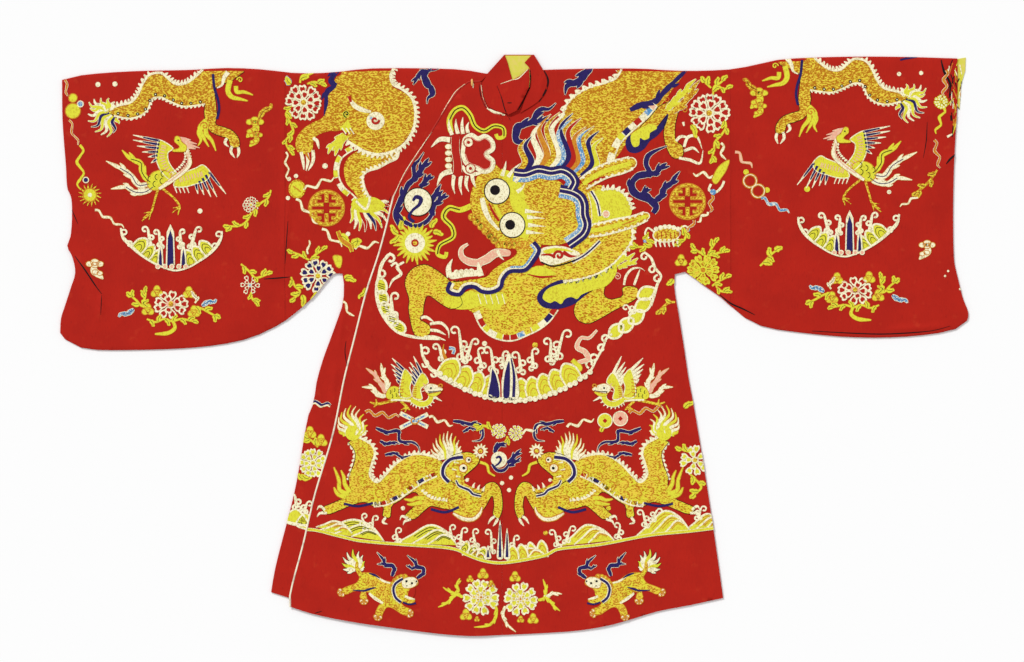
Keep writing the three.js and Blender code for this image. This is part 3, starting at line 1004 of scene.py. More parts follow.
    def _to_edge(self, inside: Point, outside: Point, height: float) -> tuple[Point, float]:
        """Moves a point that is off the panel back to the panel's edge.

        Args:
            inside: A place on the panel.
            outside: A place off it.
            height: The cloth's height at the first.

        Returns:
            The last place on the panel between them, and the cloth's height there.
        """
        low, high, best = 0.0, 1.0, height
        for _ in range(self.halvings):
            share = (low + high) / 2
            found = self.ground.height(*along(inside, outside, share), self.panels)
            if found is None:
                high = share
            else:
                low, best = share, found
        return along(inside, outside, low), best

    @staticmethod
    def _facing_up(face: Sequence[int], places: Sequence[Point]) -> Sequence[int]:
        """Turns a triangle so that it faces up off the cloth.

        Args:
            face: Its corners, as numbers.
            places: The places that they mean.

        Returns:
            The corners in their new order.
        """
        a, b, c = (places[i] for i in face)
        area = (b[0] - a[0]) * (c[1] - a[1]) - (b[1] - a[1]) * (c[0] - a[0])
        return face if area >= 0 else (face[0], face[2], face[1])


# --- the robe's cloth


@dataclass(frozen=True)
class Lining:
    """Yellow-green silk lining with a soft broken sheen."""

    name: str = "yellow_lining"
    yellow: Colour = (0.70, 0.66, 0.075)
    worn: Colour = (0.80, 0.62, 0.16)

    def make(self) -> bpy.types.Material:
        """Builds the material.

        Returns:
            The material.
        """
        s = Shader(self.name, roughness=0.55, sheen=0.15)
        warp = s.noise(1200, 2.0, (1, 0.08, 1))
        colour = s.mix(s.ramp(s.noise(120, 4.0), 0.45, 0.70) * 0.7, self.yellow, self.worn)
        return s.finish(colour, warp, 0.3, 0.0002)


@dataclass(frozen=True)
class Piping:
    """Corded edging: pale and rubbed grey down the lap, and turned under the red satin above the chest."""

    name: str = "cream_piping"
    cream: Colour = (0.90, 0.82, 0.62)
    rubbed: Colour = (0.40, 0.26, 0.22)
    red: Colour = (0.44, 0.018, 0.009)
    turned: float = 0.30  # the height on the chart, in metres, above which it is red
    fade: float = 0.03

    def make(self) -> bpy.types.Material:
        """Builds the material.

        Returns:
            The material.
        """
        s = Shader(self.name, roughness=0.7, sheen=0.1)
        twist = s.noise(700, 2.0, (1, 0.6, 1))
        height = s.node("ShaderNodeSeparateXYZ", None, {"Vector": s.place}, "Y")
        colour = s.mix(s.ramp(s.noise(70, 5.0), 0.50, 0.68) * 0.6, self.cream, self.rubbed)
        colour = s.mix(s.ramp(height, self.turned, self.turned + self.fade), colour, self.red)
        return s.finish(colour, twist, 0.4, 0.0003)


@dataclass(frozen=True)
class Cord:
    """The yellow silk cord of the fastening loop, with painted shade in the grooves of its twist."""

    name: str = "yellow_cord"
    dark: Colour = (0.72, 0.34, 0.075)
    light: Colour = (0.90, 0.62, 0.22)

    def make(self) -> bpy.types.Material:
        """Builds the material.

        Returns:
            The material.
        """
        s = Shader(self.name, roughness=0.6)
        twist = s.node("ShaderNodeTexWave", {"bands_direction": "DIAGONAL"},
            {"Vector": s.place, "Scale": 420.0}, "Fac")
        # The darker colour lies where the twist's relief is low and the lighter where it is high: painted
        # shade in the grooves.
        return s.finish(s.mix(twist * 0.7, self.dark, self.light), twist, 0.4, 0.0004)


@dataclass(frozen=True)
class Cut:
    """The rectangle of cloth that a piece was cut from, and the share of it that the piece is."""

    node: str
    width: float
    length: float
    share: float
    finish: str = "satin"
    lies_on: tuple[str, ...] = ()


@dataclass
class RobeCloth:
    """All the cut pieces of the robe, laid and dressed."""

    cuts: tuple[Cut, ...] = (
        Cut("body_right", 0.485, 2.37, 0.82),
        Cut("body_left", 0.479, 2.38, 0.885),
        Cut("front_overlap", 0.443, 1.163, 0.67, lies_on=("body_right_cloth",)),
        Cut("sleeve_right", 0.472, 1.185, 0.94),
        Cut("sleeve_left", 0.500, 1.180, 0.92),
        Cut("collar_back", 0.112, 0.082, 0.70, lies_on=("body_right_cloth", "body_left_cloth")),
        Cut("collar_lining", 0.078, 0.072, 0.60, "lining", ("collar_back_cloth",)),
        Cut("collar_right", 0.067, 0.125, 0.67, lies_on=("body_right_cloth",)),
        Cut("collar_flap", 0.068, 0.098, 0.52, lies_on=("collar_right_cloth",)),
        Cut("collar_left", 0.057, 0.123, 0.60, lies_on=("body_left_cloth",)),
        Cut("neck_trim", 0.010, 0.110, 0.36, "piping", ("body_right_cloth",)),
        Cut("lap_edging", 0.010, 1.250, 0.45, "piping", ("front_overlap_cloth",)),
        Cut("cuff_lining_left", 0.018, 0.109, 0.70, "lining", ("sleeve_left_cloth",)),
    )
    loop: str = "fastening_loop"

    def build(self) -> dict[str, bpy.types.Object]:
        """Makes every piece.

        Returns:
            The pieces by node name.
        """
        finishes = {"satin": Satin().make(), "lining": Lining().make(), "piping": Piping().make()}
        laid = LaidCloth()
        made = {}
        for cut in self.cuts:
            piece = laid.refine(cut.node, finishes[cut.finish])
            made[cut.node] = piece
            log.info("%s: %d faces", piece.name, len(piece.data.polygons))
        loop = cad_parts[self.loop]
        for slot in loop.material_slots:
            slot.material = Cord().make()
        return made


# --- the chest


@dataclass
class ChestBeast:
    """The great scaled beast that fills the chest, its head in the middle and its mouth to the left."""

    eyes: tuple[Point, Point] = ((497.0, 191.3), (512.3, 225.0))
    eye_radius: float = 12.6
    pupil: float = 5.0
    mane_width: float = 6.4

    def sew(self, n: Needlework) -> None:
        """Sews the whole beast.

        Args:
            n: The field that it is sewn in.
        """
        self._body(n)
        self._forelegs(n)
        self._hind_leg(n)
        self._flames(n)
        self._head(n)
        self._collar(n)
        self._mouth(n)
        self._nose(n)

    def _body(self, n: Needlework) -> None:
        """Sews the neck that comes over the shoulder, the back and the belly.

        Args:
            n: The field that it is sewn in.
        """
        n.shape([(623, 60), (614, 80), (598, 85), (581, 92), (567, 103), (561, 118), (556, 140), (566, 168),
            (604, 170), (616, 158), (630, 138), (646, 121), (660, 106), (672, 90), (686, 62)], GOLD)
        crest = [(625, 60), (617, 77), (604, 83), (590, 87), (577, 94), (567, 104), (562, 118)]
        n.saw(crest, -4.5, 7.0, CREAM)
        n.stroke(crest, [2.0], CREAM, 1)
        n.flame([(630, 110), (642, 104.5), (655, 101.5), (665, 91), (676, 80), (687, 69), (690, 62)],
            5.0, casing=None)
        belly = [(657, 106.5), (648, 117), (638, 126), (629, 134), (620, 144), (614, 158), (612, 168)]
        n.stripes(belly, -6.5, [PINK, SKY, CREAM, RED, CREAM, BLUE, LIME, CREAM, GOLD, CREAM, RED])
        n.shape([(500, 289), (504, 278), (512, 273), (530, 268), (556, 262), (584, 250), (604, 240),
            (622, 236), (634, 226), (633, 242), (622, 257), (604, 271), (582, 280), (562, 287), (556, 300),
            (556, 312), (546, 322), (530, 331), (512, 336), (496, 333), (484, 326), (478, 316), (472, 312),
            (456, 300), (476, 288)], GOLD)
        ridge = [(632, 228), (632, 240), (625, 251), (614, 263), (599, 273), (580, 279), (563, 281)]
        n.saw(ridge, 4.0, 6.0, CREAM, 3)
        n.stroke(ridge, [1.6], CREAM, 3)
        low = [(474, 313), (480, 326), (489, 335), (501, 340), (514, 340.5), (528, 335), (540, 329),
            (550, 321), (558, 310)]
        n.stripes(low, 6.0, [CREAM, RED, LIME, CREAM, LIME, RED, RED, SKY, GOLD, LIME, CREAM, BLUE, RED])
        n.shape([(444, 297), (458, 296), (470, 291), (486, 294), (503, 292), (505, 302), (495, 310),
            (482, 306), (470, 309), (456, 309), (445, 304)], LIME, 1)
        for x in range(478, 504, 6):
            n.stroke([(x, 294), (x + 3, 304)], [0.8], CREAM, 2)
        n.stroke([(572, 262), (586, 254), (600, 241)], [1.6], BLUE, 2, CREAM, 1.2)

    def _forelegs(self, n: Needlework) -> None:
        """Sews the leg that reaches down to the left and the one folded at the upper right.

        Args:
            n: The field that it is sewn in.
        """
        n.shape([(405, 285), (406.5, 276), (414, 267.5), (425, 264.5), (435, 269), (448, 279), (458, 292),
            (462, 304), (452, 309), (441, 304), (433, 298), (427, 296), (424, 305), (423, 314), (420, 319),
            (429, 325), (430.5, 332), (424, 338), (415, 335), (411, 324), (408.5, 309), (409, 299)],
            GOLD, 0, DARK, 0.6)
        n.claws(
            [[(421, 318), (426, 317), (434, 322)], [(430, 324), (441, 323), (448, 330), (449, 338)],
             [(430, 330), (438, 331), (446, 335)], [(424, 337), (435, 337), (446, 340.5)]])
        n.shape([(640, 128), (650, 117), (658, 107), (668, 102), (678, 97), (681, 103), (677, 117),
            (675, 128), (676, 140), (683, 147), (682, 157), (673, 158), (667, 149), (664, 138), (664, 128),
            (667, 116), (656, 128), (646, 135)], GOLD, 0, DARK, 0.6)
        n.shape([(667.5, 114), (665, 126), (657, 136), (650, 141), (644, 149), (636, 153), (628, 151),
            (625.5, 142), (630, 135), (640, 136), (652, 132)], BLUE, 1)
        n.shape([(637, 130), (650, 124), (657, 128), (650, 133), (649, 138), (644, 140), (640, 138),
            (639, 145), (634, 147), (631, 142), (631, 135)], LIME, 2)
        n.flame([(667, 110), (675, 100), (684, 93), (688, 86), (696, 79)], 5.0, LIME)
        n.flame([(673, 112), (683, 103), (691, 95), (693, 88), (700, 80)], 5.0, GOLD)
        n.stroke(coil((666.5, 100), 3.6, 200, 1.3), [0.9], ORANGE, 3)
        n.stroke(coil((684.5, 110), 3.6, 200, 1.3), [0.9], ORANGE, 2)
        n.claws(
            [[(676, 141), (681, 136.5), (690, 138)], [(684, 147), (688, 137), (697, 137), (702, 149)],
             [(684, 151), (693, 148), (699, 153)], [(679, 158), (690, 160), (700, 163), (703, 150)]])

    def _hind_leg(self, n: Needlework) -> None:
        """Sews the haunch with its clouds and the leg bent under it.

        Args:
            n: The field that it is sewn in.
        """
        n.shape([(584, 296), (596, 288), (606, 280), (604, 294), (610, 299), (622, 296), (622.5, 288),
            (629, 286), (637, 288), (638, 296), (631, 302), (615, 310), (602, 317.5), (589, 323.5),
            (579, 321), (574, 312.5), (576, 303)], GOLD, 0, DARK, 0.6)
        n.shape([(564, 280), (552, 283), (540, 291), (537, 299), (543, 307), (557, 309), (572, 305),
            (582, 298), (589, 290), (575, 288)], BLUE, 2)
        n.shape([(549, 288), (560, 284), (580, 280), (600, 273), (613, 264), (617, 267), (615, 276),
            (606, 286), (590, 291), (581, 295), (577, 299), (571, 297), (565, 299), (561, 304), (555, 301),
            (550, 303), (543, 299), (544, 293)], LIME, 3)
        n.claws([[(624, 285), (626, 276), (632, 269), (640, 268), (645, 271)],
            [(634, 285), (637, 277), (640, 269)]], 2.2)
        n.flame([(616, 265), (622, 258), (628, 258), (635, 253)], 3.6, LIME)
        n.flame([(618, 268), (626, 264), (631, 263), (638, 258)], 3.6, LIME)
        n.stroke(coil((617.5, 276.5), 4.0, 200, 1.6), [0.9], PINK, 2)

    def _flames(self, n: Needlework) -> None:
        """Sews the blue flames round the body.

        Args:
            n: The field that it is sewn in.
        """
        for points, width in (
            ([(523, 142), (517, 141), (515, 134), (517, 127), (524, 125), (533, 121), (536, 113), (542, 109),
              (549, 109), (556, 103)], 5.4),
            ([(530, 122), (540, 121), (549, 116)], 3.8),
            ([(591, 66), (584, 76), (575, 83), (567, 86), (565, 95)], 6.0),
            ([(653, 213), (656, 207), (650, 200), (641, 197), (633, 191), (632, 183), (638, 176), (649, 173),
              (646, 164), (648, 156), (655, 151), (667, 146)], 6.2),
            ([(650, 174), (657, 172), (661, 167), (667, 163)], 4.4),
            ([(655, 201), (661, 196), (664, 189), (671, 183), (675, 177), (680, 171)], 5.2),
            ([(638, 195), (644, 193), (648, 187)], 4.0),
        ):
            n.flame(points, width)

    def _head(self, n: Needlework) -> None:
        """Sews the skull, the horns, the ear, the mane and the eyes.

        Args:
            n: The field that it is sewn in.
        """
        mane = [GOLD, BLUE, CREAM, ORANGE, GOLD, CREAM, SKY, BLUE, RED, ORANGE, SKY, GOLD, BLUE, LIME]
        tips = [(526, 139), (532, 136), (543, 122), (551, 114), (560, 112), (565, 114), (572, 119),
            (573, 113), (581, 118), (586, 127), (591, 128), (594, 126), (599, 131), (603, 138)]
        n.tuft(((519, 172), (586, 176)), tips, mane, self.mane_width, 3)
        for horn, wide in (
            ([(583, 184), (595, 176), (608, 170), (622, 166), (631, 163)], (10, 12, 12, 13, 11)),
            ([(588, 231), (602, 229), (618, 225), (634, 221), (646, 216)], (10, 11, 11, 9, 7)),
        ):
            n.disc(horn[-1], wide[-1] / 2, GOLD, 4, CREAM)
            n.stroke(horn, wide, GOLD, 5, CREAM, 1.8)
            n.stroke(horn, [w * 0.4 for w in wide], LIME, 7)
            for side in (-1, 1):
                path = smooth(horn)
                edge = offset(path, [side * w / 2 for w in spread(wide, len(path))])
                for place in edge[4::5]:
                    n.disc(place, 1.5, CREAM, 7)
        n.stroke([(588, 184), (600, 178), (610, 176)], [2.5, 3.5, 0.5], RED, 6)
        n.shape([(577, 184), (590, 186), (603, 186), (606, 200), (604, 214), (618, 226), (636, 220),
            (634, 234), (618, 246), (598, 254), (580, 257), (572, 248), (584, 236), (587, 222), (585, 204)],
            GOLD, 1)
        n.stroke([(591, 192), (595, 203), (596, 216), (594, 226)], [6.0, 8.0, 8.0, 5.0], LIME, 2, CREAM, 0.8)
        n.shape([(592, 194), (602, 189), (616, 190), (627, 197), (632, 209), (628, 218), (610, 220),
            (594, 218)], LIME, 3)
        n.stroke([(601, 190), (615, 189), (626, 196), (632, 208)], [1.8], CREAM, 5)
        n.saw([(601, 190), (615, 189), (626, 196), (632, 210)], 4.5, 5.0, CREAM, 5)
        n.stroke([(591, 191), (597, 202), (600, 216)], [1.6], BLUE, 5, CREAM, 1.2)
        n.stroke([(622, 225), (638, 219)], [1.0, 2.0, 0.5], ORANGE, 8)
        n.disc((606, 214), 3.4, PINK, 6, CREAM)
        n.shape([(487, 163), (496, 165), (502, 171), (514, 176), (532, 178), (556, 180), (568, 190),
            (577, 206), (580, 222), (575, 236), (562, 244), (545, 245), (530, 242), (515, 246), (500, 244),
            (488, 238), (479, 226), (474, 216), (470.5, 206), (470.5, 196), (474, 184), (480, 172)], GOLD, 4)
        n.stroke([(500, 172), (511, 178), (516, 190), (518, 203), (524, 213), (526, 226), (523, 238)],
            [7, 11, 15, 14, 13, 9], LIME, 5)
        for x, y in ((525, 211), (527, 217), (528, 225), (526, 232)):
            n.stroke([(x, y), (x + 18, y + 1.5)], [4.5, 2.0, 0.2], CREAM, 6)
        for points in (
            [(502, 176), (505, 167), (506, 161)], [(508, 177), (514, 169), (521, 163)],
            [(515, 182), (520, 176), (524, 169)], [(517, 192), (522, 188), (525, 183)],
        ):
            n.stroke(points, [4.0, 2.8, 0.2], CREAM, 7)
        n.stroke([(482, 198), (485, 210), (490, 220), (499, 230)], [4.5, 5.5, 4.0, 2.0], CREAM, 6)
        n.stroke([(489, 203), (493, 212), (499, 221)], [1.0, 2.6, 2.2], RED, 6)
        n.stroke([(495, 205), (499, 213), (502, 218)], [3.0, 4.0, 3.0], LIME, 6)
        for k in range(13):
            spot = along((473, 215), (500, 243), k / 6) if k < 7 else along((500, 243), (531, 243),
                (k - 6) / 6)
            n.disc((spot[0] - 1, spot[1] + 2), 3.6, GOLD, 4, ORANGE)
        for centre, look in zip(self.eyes, ((-2.0, -1.2), (-2.2, -0.2))):
            n.disc(centre, self.eye_radius, CREAM, 8, DARK)
            n.disc((centre[0] + look[0], centre[1] + look[1]), self.pupil, DARK, 10)

    def _collar(self, n: Needlework) -> None:
        """Sews the two scalloped bands behind the skull and the wavy one along the jaw.

        Args:
            n: The field that it is sewn in.
        """
        bands = ([(514, 172), (525, 173), (538, 169), (551, 171), (562, 169.5), (571, 174), (575.5, 182),
            (572, 190)], [(560, 188.5), (572, 191), (580.5, 196), (584.5, 204), (585, 214.5), (587.5, 225),
            (583.5, 235), (569, 246)])
        for points in bands:
            path = smooth(points)
            n.line(offset(path, -7.0), [4.4], SKY, 6)
            n.line(offset(path, -4.6), [1.2], CREAM, 8)
            n.line(path, [8.0], BLUE, 8)
            n.line(path, [1.1], CREAM, 10)
        n.shape([(540, 250), (552, 246), (566, 247), (580, 254), (567, 261), (552, 265), (541, 262)],
            CREAM, 3)
        n.shape([(543, 251), (554, 248), (566, 249), (573, 252), (560, 251), (548, 254)], LIME, 4)
        n.stroke(coil((559, 255.5), 5.4, 150, 1.2), [2.6], RED, 6)
        n.stroke([(541, 255), (549, 254.5), (553, 256)], [1.0, 3.0], RED, 6)
        n.stroke([(563, 252), (570, 256), (577, 256)], [4.2, 3.2, 0.3], RED, 6)
        n.stroke([(541, 262), (552, 266), (564, 264), (575, 260)], [1.4], DARK, 5)
        n.shape([(526, 274), (536, 266), (547, 268), (556, 274), (542, 276), (530, 276)], LIME, 3)
        n.stroke([(527, 274), (540, 277), (556, 276)], [0.6, 2.4, 0.4], RED, 4)

    def _mouth(self, n: Needlework) -> None:
        """Sews the lower jaw, the tongue and the teeth.

        Args:
            n: The field that it is sewn in.
        """
        n.shape([(528, 240), (541, 243), (538, 252), (534, 261), (524, 268), (509, 270), (501, 284),
            (486, 289), (474, 285), (462, 290), (450, 287), (452, 281), (470, 279.5), (486, 277), (493, 270),
            (503, 263), (512, 258), (517, 252), (514, 245)], GOLD, 5)
        jaw = [(533.5, 242), (539, 250), (534, 260), (525, 270), (510, 271.5), (503, 279), (500.5, 287.5),
            (492, 292), (482, 291.5), (474.5, 287), (466, 287.5), (459, 294.5), (448, 291), (450.5, 282)]
        path = smooth(jaw)
        n.line(offset(path, -3.2), [2.6], CREAM, 7)
        n.line(offset(path[:38], -4.0), [2.0], SKY, 8)
        n.line(path, [3.9], BLUE, 8)
        n.shape([(451, 276), (470, 273), (486, 270), (484, 277), (470, 280), (454, 282)], RED, 5)
        n.stroke([(468, 244), (461.5, 249), (462, 257), (470, 262), (482, 263)], [1.0, 4.0, 6.0, 6.0], PINK,
            6, CREAM, 0.8)
        n.stroke([(478, 263), (487, 259), (496, 253), (508, 253)], [6.0, 7.5, 7.0, 5.0], PINK, 6, CREAM, 0.8)
        n.disc((507.5, 253), 3.4, PINK, 7)
        n.stroke([(497, 250), (500, 256), (504, 260)], [3.6, 3.0, 0.3], CREAM, 9)
        for x in (456.5, 461.5, 466.5, 471.5):
            n.disc((x, 273 - (x - 450) * 0.08), 2.9, CREAM, 8)
        n.stroke([(450, 277), (448.5, 268), (452.5, 259)], [6.5, 5.0, 0.4], CREAM, 8)
        n.stroke([(481, 276), (479.5, 270), (478, 262)], [6.0, 5.0, 0.6], CREAM, 8)
        n.shape([(449, 273), (462, 272), (480, 270), (483, 275), (466, 277), (451, 279)], CREAM, 7)

    def _nose(self, n: Needlework) -> None:
        """Sews the cloud-shaped nose, the upper teeth and the whiskers.

        Args:
            n: The field that it is sewn in.
        """
        whisker = [(451, 132), (449.5, 120), (455, 110.5), (463, 108), (470, 115), (475, 126), (484, 131),
            (494, 126), (503, 128), (504, 136), (498, 138), (496, 134)]
        for points in (
            whisker,
            [(471, 206), (460, 210), (449, 208), (443.5, 217), (452, 227), (453, 237), (440, 245),
             (437.5, 254), (445, 257), (446.5, 252)],
        ):
            n.stroke(points, [5.5, 5.5, 5.0, 4.4, 3.6], LIME, 3)
            n.stroke(points[1:-2], [1.1], DARK, 5)
        outline = [(463.6, 146), (465, 139), (471.5, 135), (478, 138.5), (485, 136), (492, 141), (493, 149),
            (486.5, 154.5), (493, 161), (491.5, 169), (484, 172), (477, 168.5), (467, 164), (463, 155)]
        n.shape(outline, RED, 5, CREAM, 4.0)
        n.line(offset(smooth(outline), -2.6), [0.6], PINK, 8)
        n.stroke([(462, 166), (467, 172), (475, 174), (482, 172)], [3.0, 4.0, 4.0, 2.0], CREAM, 5)
        for centre in ((468.5, 142.5), (470.5, 168.5)):
            n.disc(centre, 4.8, CREAM, 7, RED)
            n.disc(centre, 1.7, RED, 9)
        n.stroke([(455.5, 137), (455.5, 150), (457.5, 163), (457.5, 173)], [8.0, 7.6, 7.6, 8.4],
            RED, 7, CREAM, 0.4)
        for centre in ((455.7, 138), (457.8, 173)):
            n.disc(centre, 4.2, RED, 8)
        for y in (146.7, 153.1, 159.6, 166):
            n.fill(oval((448.6, y), 3.6, 2.8), CREAM, 6, ORANGE, 0.4)
        n.stroke([(450, 140), (440, 139.5), (431, 147.5)], [5.5, 4.4, 0.4], CREAM, 6)
        n.stroke([(452, 171), (442, 175), (437, 186)], [6.0, 4.4, 0.4], CREAM, 6)
        for root, middle, tip in (
            ((454, 175), (453, 186), (455, 194)), ((461, 176), (460, 186), (462, 195)),
            ((467, 176), (466, 185), (469, 192)), ((472, 174), (473, 181), (476, 188)),
            ((452, 135), (449, 126), (449, 119)), ((458, 134), (456, 126), (456, 119)),
            ((463, 134), (462, 125), (463, 117)), ((468, 133), (467, 127), (469, 122)),
        ):
            n.stroke([root, middle, tip], [4.0, 3.2, 0.3], CREAM, 5)


@dataclass
class ChestWaves:
    """The crescent of hills, rocks and foam under the chest beast, with its pearl and sun."""

    pearl: Point = (418.0, 202.0)
    pearl_radius: float = 14.0
    sun: Point = (415.0, 243.0)
    sun_rays: int = 24
    feet_left: tuple[float, ...] = (437.0, 451.0, 465.0, 478.0, 490.0)
    feet_right: tuple[float, ...] = (582.0, 569.0, 556.0, 543.0, 530.0, 518.0)

    def sew(self, n: Needlework) -> None:
        """Sews the crescent and what lies round it.

        Args:
            n: The field that it is sewn in.
        """
        self._border(n)
        self._hills(n)
        self._foam(n)
        self._pearl(n)
        self._sun(n)

    def _border(self, n: Needlework) -> None:
        """Sews the foam line of the crescent with its leaf-shaped waves.

        Args:
            n: The field that it is sewn in.
        """
        n.stroke([(391, 253), (383, 262), (379, 274), (376, 292), (379, 308), (387, 322), (396, 331),
            (405, 335), (421, 338), (440, 339)], [2.6, 3.6, 2.4, 2.2, 2.2, 2.4, 2.6, 3.0, 2.6, 2.2],
            CREAM, 1)
        n.hook((386, 257), -70, 5.0, 1, 2.8, CREAM)
        n.hook((381, 270), -10, 4.2, 1, 2.4, CREAM)
        for x, y, turn in ((381.5, 286, 80), (383, 298, 75), (386, 309, 60), (392, 319, 50), (399, 327, 40)):
            n.fill(oval((x, y), 7.5, 5.2, turn), LIME, 1, CREAM, 2.2)
            for shift in (-2.0, 0.2, 2.2):
                n.stroke([(x - 3, y + shift - 1), (x + 3, y + shift + 1)], [0.6], DARK, 4)
        lobes = ((0, 9.5), (60, 6.5), (125, 7), (180, 9), (240, 6.5), (300, 6.5))
        for x, y, turn in (
            (646, 293, -25), (643, 305, -30), (636, 317, -38), (626, 325, -42), (616, 331, -45),
        ):
            n.shape([polar((x, y), turn + angle, reach) for angle, reach in lobes], LIME, 1, CREAM, 2.2)
        n.stroke([(421, 344), (423, 356), (430, 368), (443, 378), (458, 386), (476, 394), (495, 399),
            (514, 401), (534, 398), (553, 392), (568, 385), (580, 377), (590, 371), (596, 360), (603, 347),
            (606, 339), (612, 334)], [2.2, 3.4, 3.8, 3.4, 2.6, 2.6, 3.2, 4.2, 4.0, 2.6, 2.2, 2.4, 2.4],
            CREAM, 1)
        for x, y, heading, side in (
            (422, 349, -60, 1), (424, 360, -10, 1), (432, 370, -20, 1), (597, 356, -120, -1),
            (604, 345, -140, -1), (609, 338, -100, -1), (589, 368, 190, 1),
        ):
            n.hook((x, y), heading, 4.2, side, 2.4, CREAM)
        n.stroke([(644, 252), (651, 258), (655, 268), (661, 276), (657, 285), (654, 296), (651, 306)],
            [2.0, 3.0, 2.2, 3.0, 2.0], CREAM, 1)
        for x, y in ((645, 253), (653, 266), (658, 275)):
            n.hook((x, y), 190, 3.8, -1, 2.2, CREAM)
        n.spray((393, 318), (391, 297), 4.4, 1, 2.4)
        n.spray((632, 312), (628, 306), 3.0, -1, 1.8)

    @staticmethod
    def _floor(x: float) -> float:
        """The foot of the hills at a place across the crescent, which is an arch turned over."""
        middle, lowest, rise, half = 514, 400, 28, 76
        return lowest - rise * ((x - middle) / half) ** 2

    def _hills(self, n: Needlework) -> None:
        """Sews the ribbed humps, each over the one further in, and the blue rocks between them.

        Args:
            n: The field that it is sewn in.
        """
        for feet, way in ((self.feet_left, 1), (self.feet_right, -1)):
            for k, (a, b) in enumerate(zip(feet, feet[1:])):
                pair = [(x, self._floor(x)) for x in (a, b + 2.5 * way)][::way]
                n.hump(*pair, 21.0, 1 + 2 * (len(feet) - 2 - k), ORANGE)
        for k in range(31):
            x = 440 + 5 * k
            n.disc((x, self._floor(x) + (k % 2)), 2.8, CREAM, 13)
        n.shape([(488, 397), (490, 380), (492, 368), (497, 376), (500, 397)], BLUE, 13, CREAM, 1.6)
        n.shape([(501, 398), (502, 378), (509, 353), (517, 376), (518, 398)], CREAM, 13)
        n.shape([(503.5, 397), (504.5, 376), (509, 361), (510, 376), (509, 397)], BLUE, 15)
        n.stroke([(513.5, 397), (514, 376), (511, 358)], [3.0, 2.8, 1.0], BLUE, 15)
        n.stroke([(501, 397), (500.5, 380), (499, 366)], [1.6], RED, 15)

    def _foam(self, n: Needlework) -> None:
        """Sews the sprays over the hills and the ribbon at their right end.

        Args:
            n: The field that it is sewn in.
        """
        for root, tip, size, side in (
            ((463, 362), (459, 330), 4.6, -1), ((466, 360), (472, 341), 3.8, 1),
            ((482, 368), (478, 352), 4.0, 1), ((494, 372), (491, 350), 4.2, -1),
            ((503, 366), (503, 354), 3.2, 1), ((521, 372), (519, 355), 4.0, -1),
            ((533, 368), (532, 352), 3.8, 1), ((550, 362), (551, 342), 4.2, -1),
            ((556, 360), (563, 333), 4.8, 1), ((443, 360), (439, 346), 3.4, -1),
        ):
            n.spray(root, tip, size, side, 2.2)
        n.stroke([(447, 362), (443, 351), (444, 344)], [4.0, 3.0, 0.6], ORANGE, 5)
        n.stroke([(449, 348), (454, 349), (453, 354)], [2.6, 2.0], SKY, 5, CREAM, 0.6)
        n.stroke([(597, 330), (589, 338), (581, 338), (577, 347), (585, 352), (588, 359), (580, 362),
            (572, 364)], [1.0, 2.0, 2.4, 4.0, 4.4, 3.4, 2.0], PINK, 3, CREAM, 0.7)
        n.stroke([(572, 360), (580, 368), (575, 372)], [4.0, 4.6, 3.0], LIME, 4, ORANGE, 0.8)
        n.disc((484.5, 343.5), 2.6, CREAM)
        n.disc((535, 345), 2.8, GOLD)

    def _pearl(self, n: Needlework) -> None:
        """Sews the flaming pearl.

        Args:
            n: The field that it is sewn in.
        """
        for points, width in (
            ([(399, 225), (396, 212), (403, 196), (408, 185), (414, 178), (414, 166), (419, 160),
              (424, 152)], 5.0),
            ([(413, 178), (420, 172), (424, 165), (429, 158)], 4.6),
            ([(420, 187), (425, 182), (431, 174)], 4.2),
            ([(433, 216), (431, 204), (436, 193), (441, 184)], 5.0),
            ([(434, 205), (440, 200), (446, 193)], 4.0),
        ):
            n.flame(points, width)
        n.stroke([(398, 214), (405, 222), (416, 226), (427, 221), (434, 211)], [3.0, 4.2, 4.0, 4.2, 3.0],
            BLUE, 3, CREAM, 0.5)
        n.disc(self.pearl, self.pearl_radius, CREAM, 5, DARK)
        n.disc(self.pearl, self.pearl_radius - 1.6, CREAM, 7)
        n.stroke([(413, 201), (416, 197), (421, 199), (419, 205), (413, 210), (409, 217), (414, 222)],
            [2.2, 4.2, 4.0, 3.0, 2.6, 3.0, 3.4], BLUE, 8)

    def _sun(self, n: Needlework) -> None:
        """Sews the rayed disc under the pearl, with its trailing ribbon.

        Args:
            n: The field that it is sewn in.
        """
        for k in range(self.sun_rays):
            angle = 360 / self.sun_rays * k
            root, tip = polar(self.sun, angle, 9), polar(self.sun, angle + 8, 19 + 3 * (k % 2))
            n.stroke([root, polar(self.sun, angle + 9, 14), tip], [3.4, 3.0, 0.4], LIME, 3, ORANGE, 0.5)
        n.disc(self.sun, 10.0, CREAM, 6)
        n.disc(self.sun, 3.8, RED, 8)
        n.disc(self.sun, 2.2, GOLD, 9)
        for root, tip in (
            ((399, 236), (390, 243)), ((398, 234), (391, 225)), ((401, 230), (405, 217)),
            ((431, 228), (437, 219)), ((433, 232), (443, 235)),
        ):
            leaf(n, root, tip, 5.0)
        n.stroke([(404, 262), (397, 267), (401, 274), (393, 280), (389, 288)], [2.0, 2.8, 3.2, 2.4, 0.6],
            CREAM, 3)
        n.stroke([(391, 266), (396, 263), (399, 270)], [2.4, 2.0], CREAM, 3)


def notched(centre: Point, radius: float, turn: float) -> list[Point]:
    """The outline of a petal with two lobes at its tip, which points along an angle in degrees."""
    lobes = ((0, 0.74), (24, 1.06), (60, 0.92), (115, 0.66), (180, 0.95), (245, 0.66), (300, 0.92),
        (336, 1.06))
    return [polar(centre, turn + angle, radius * reach) for angle, reach in lobes]


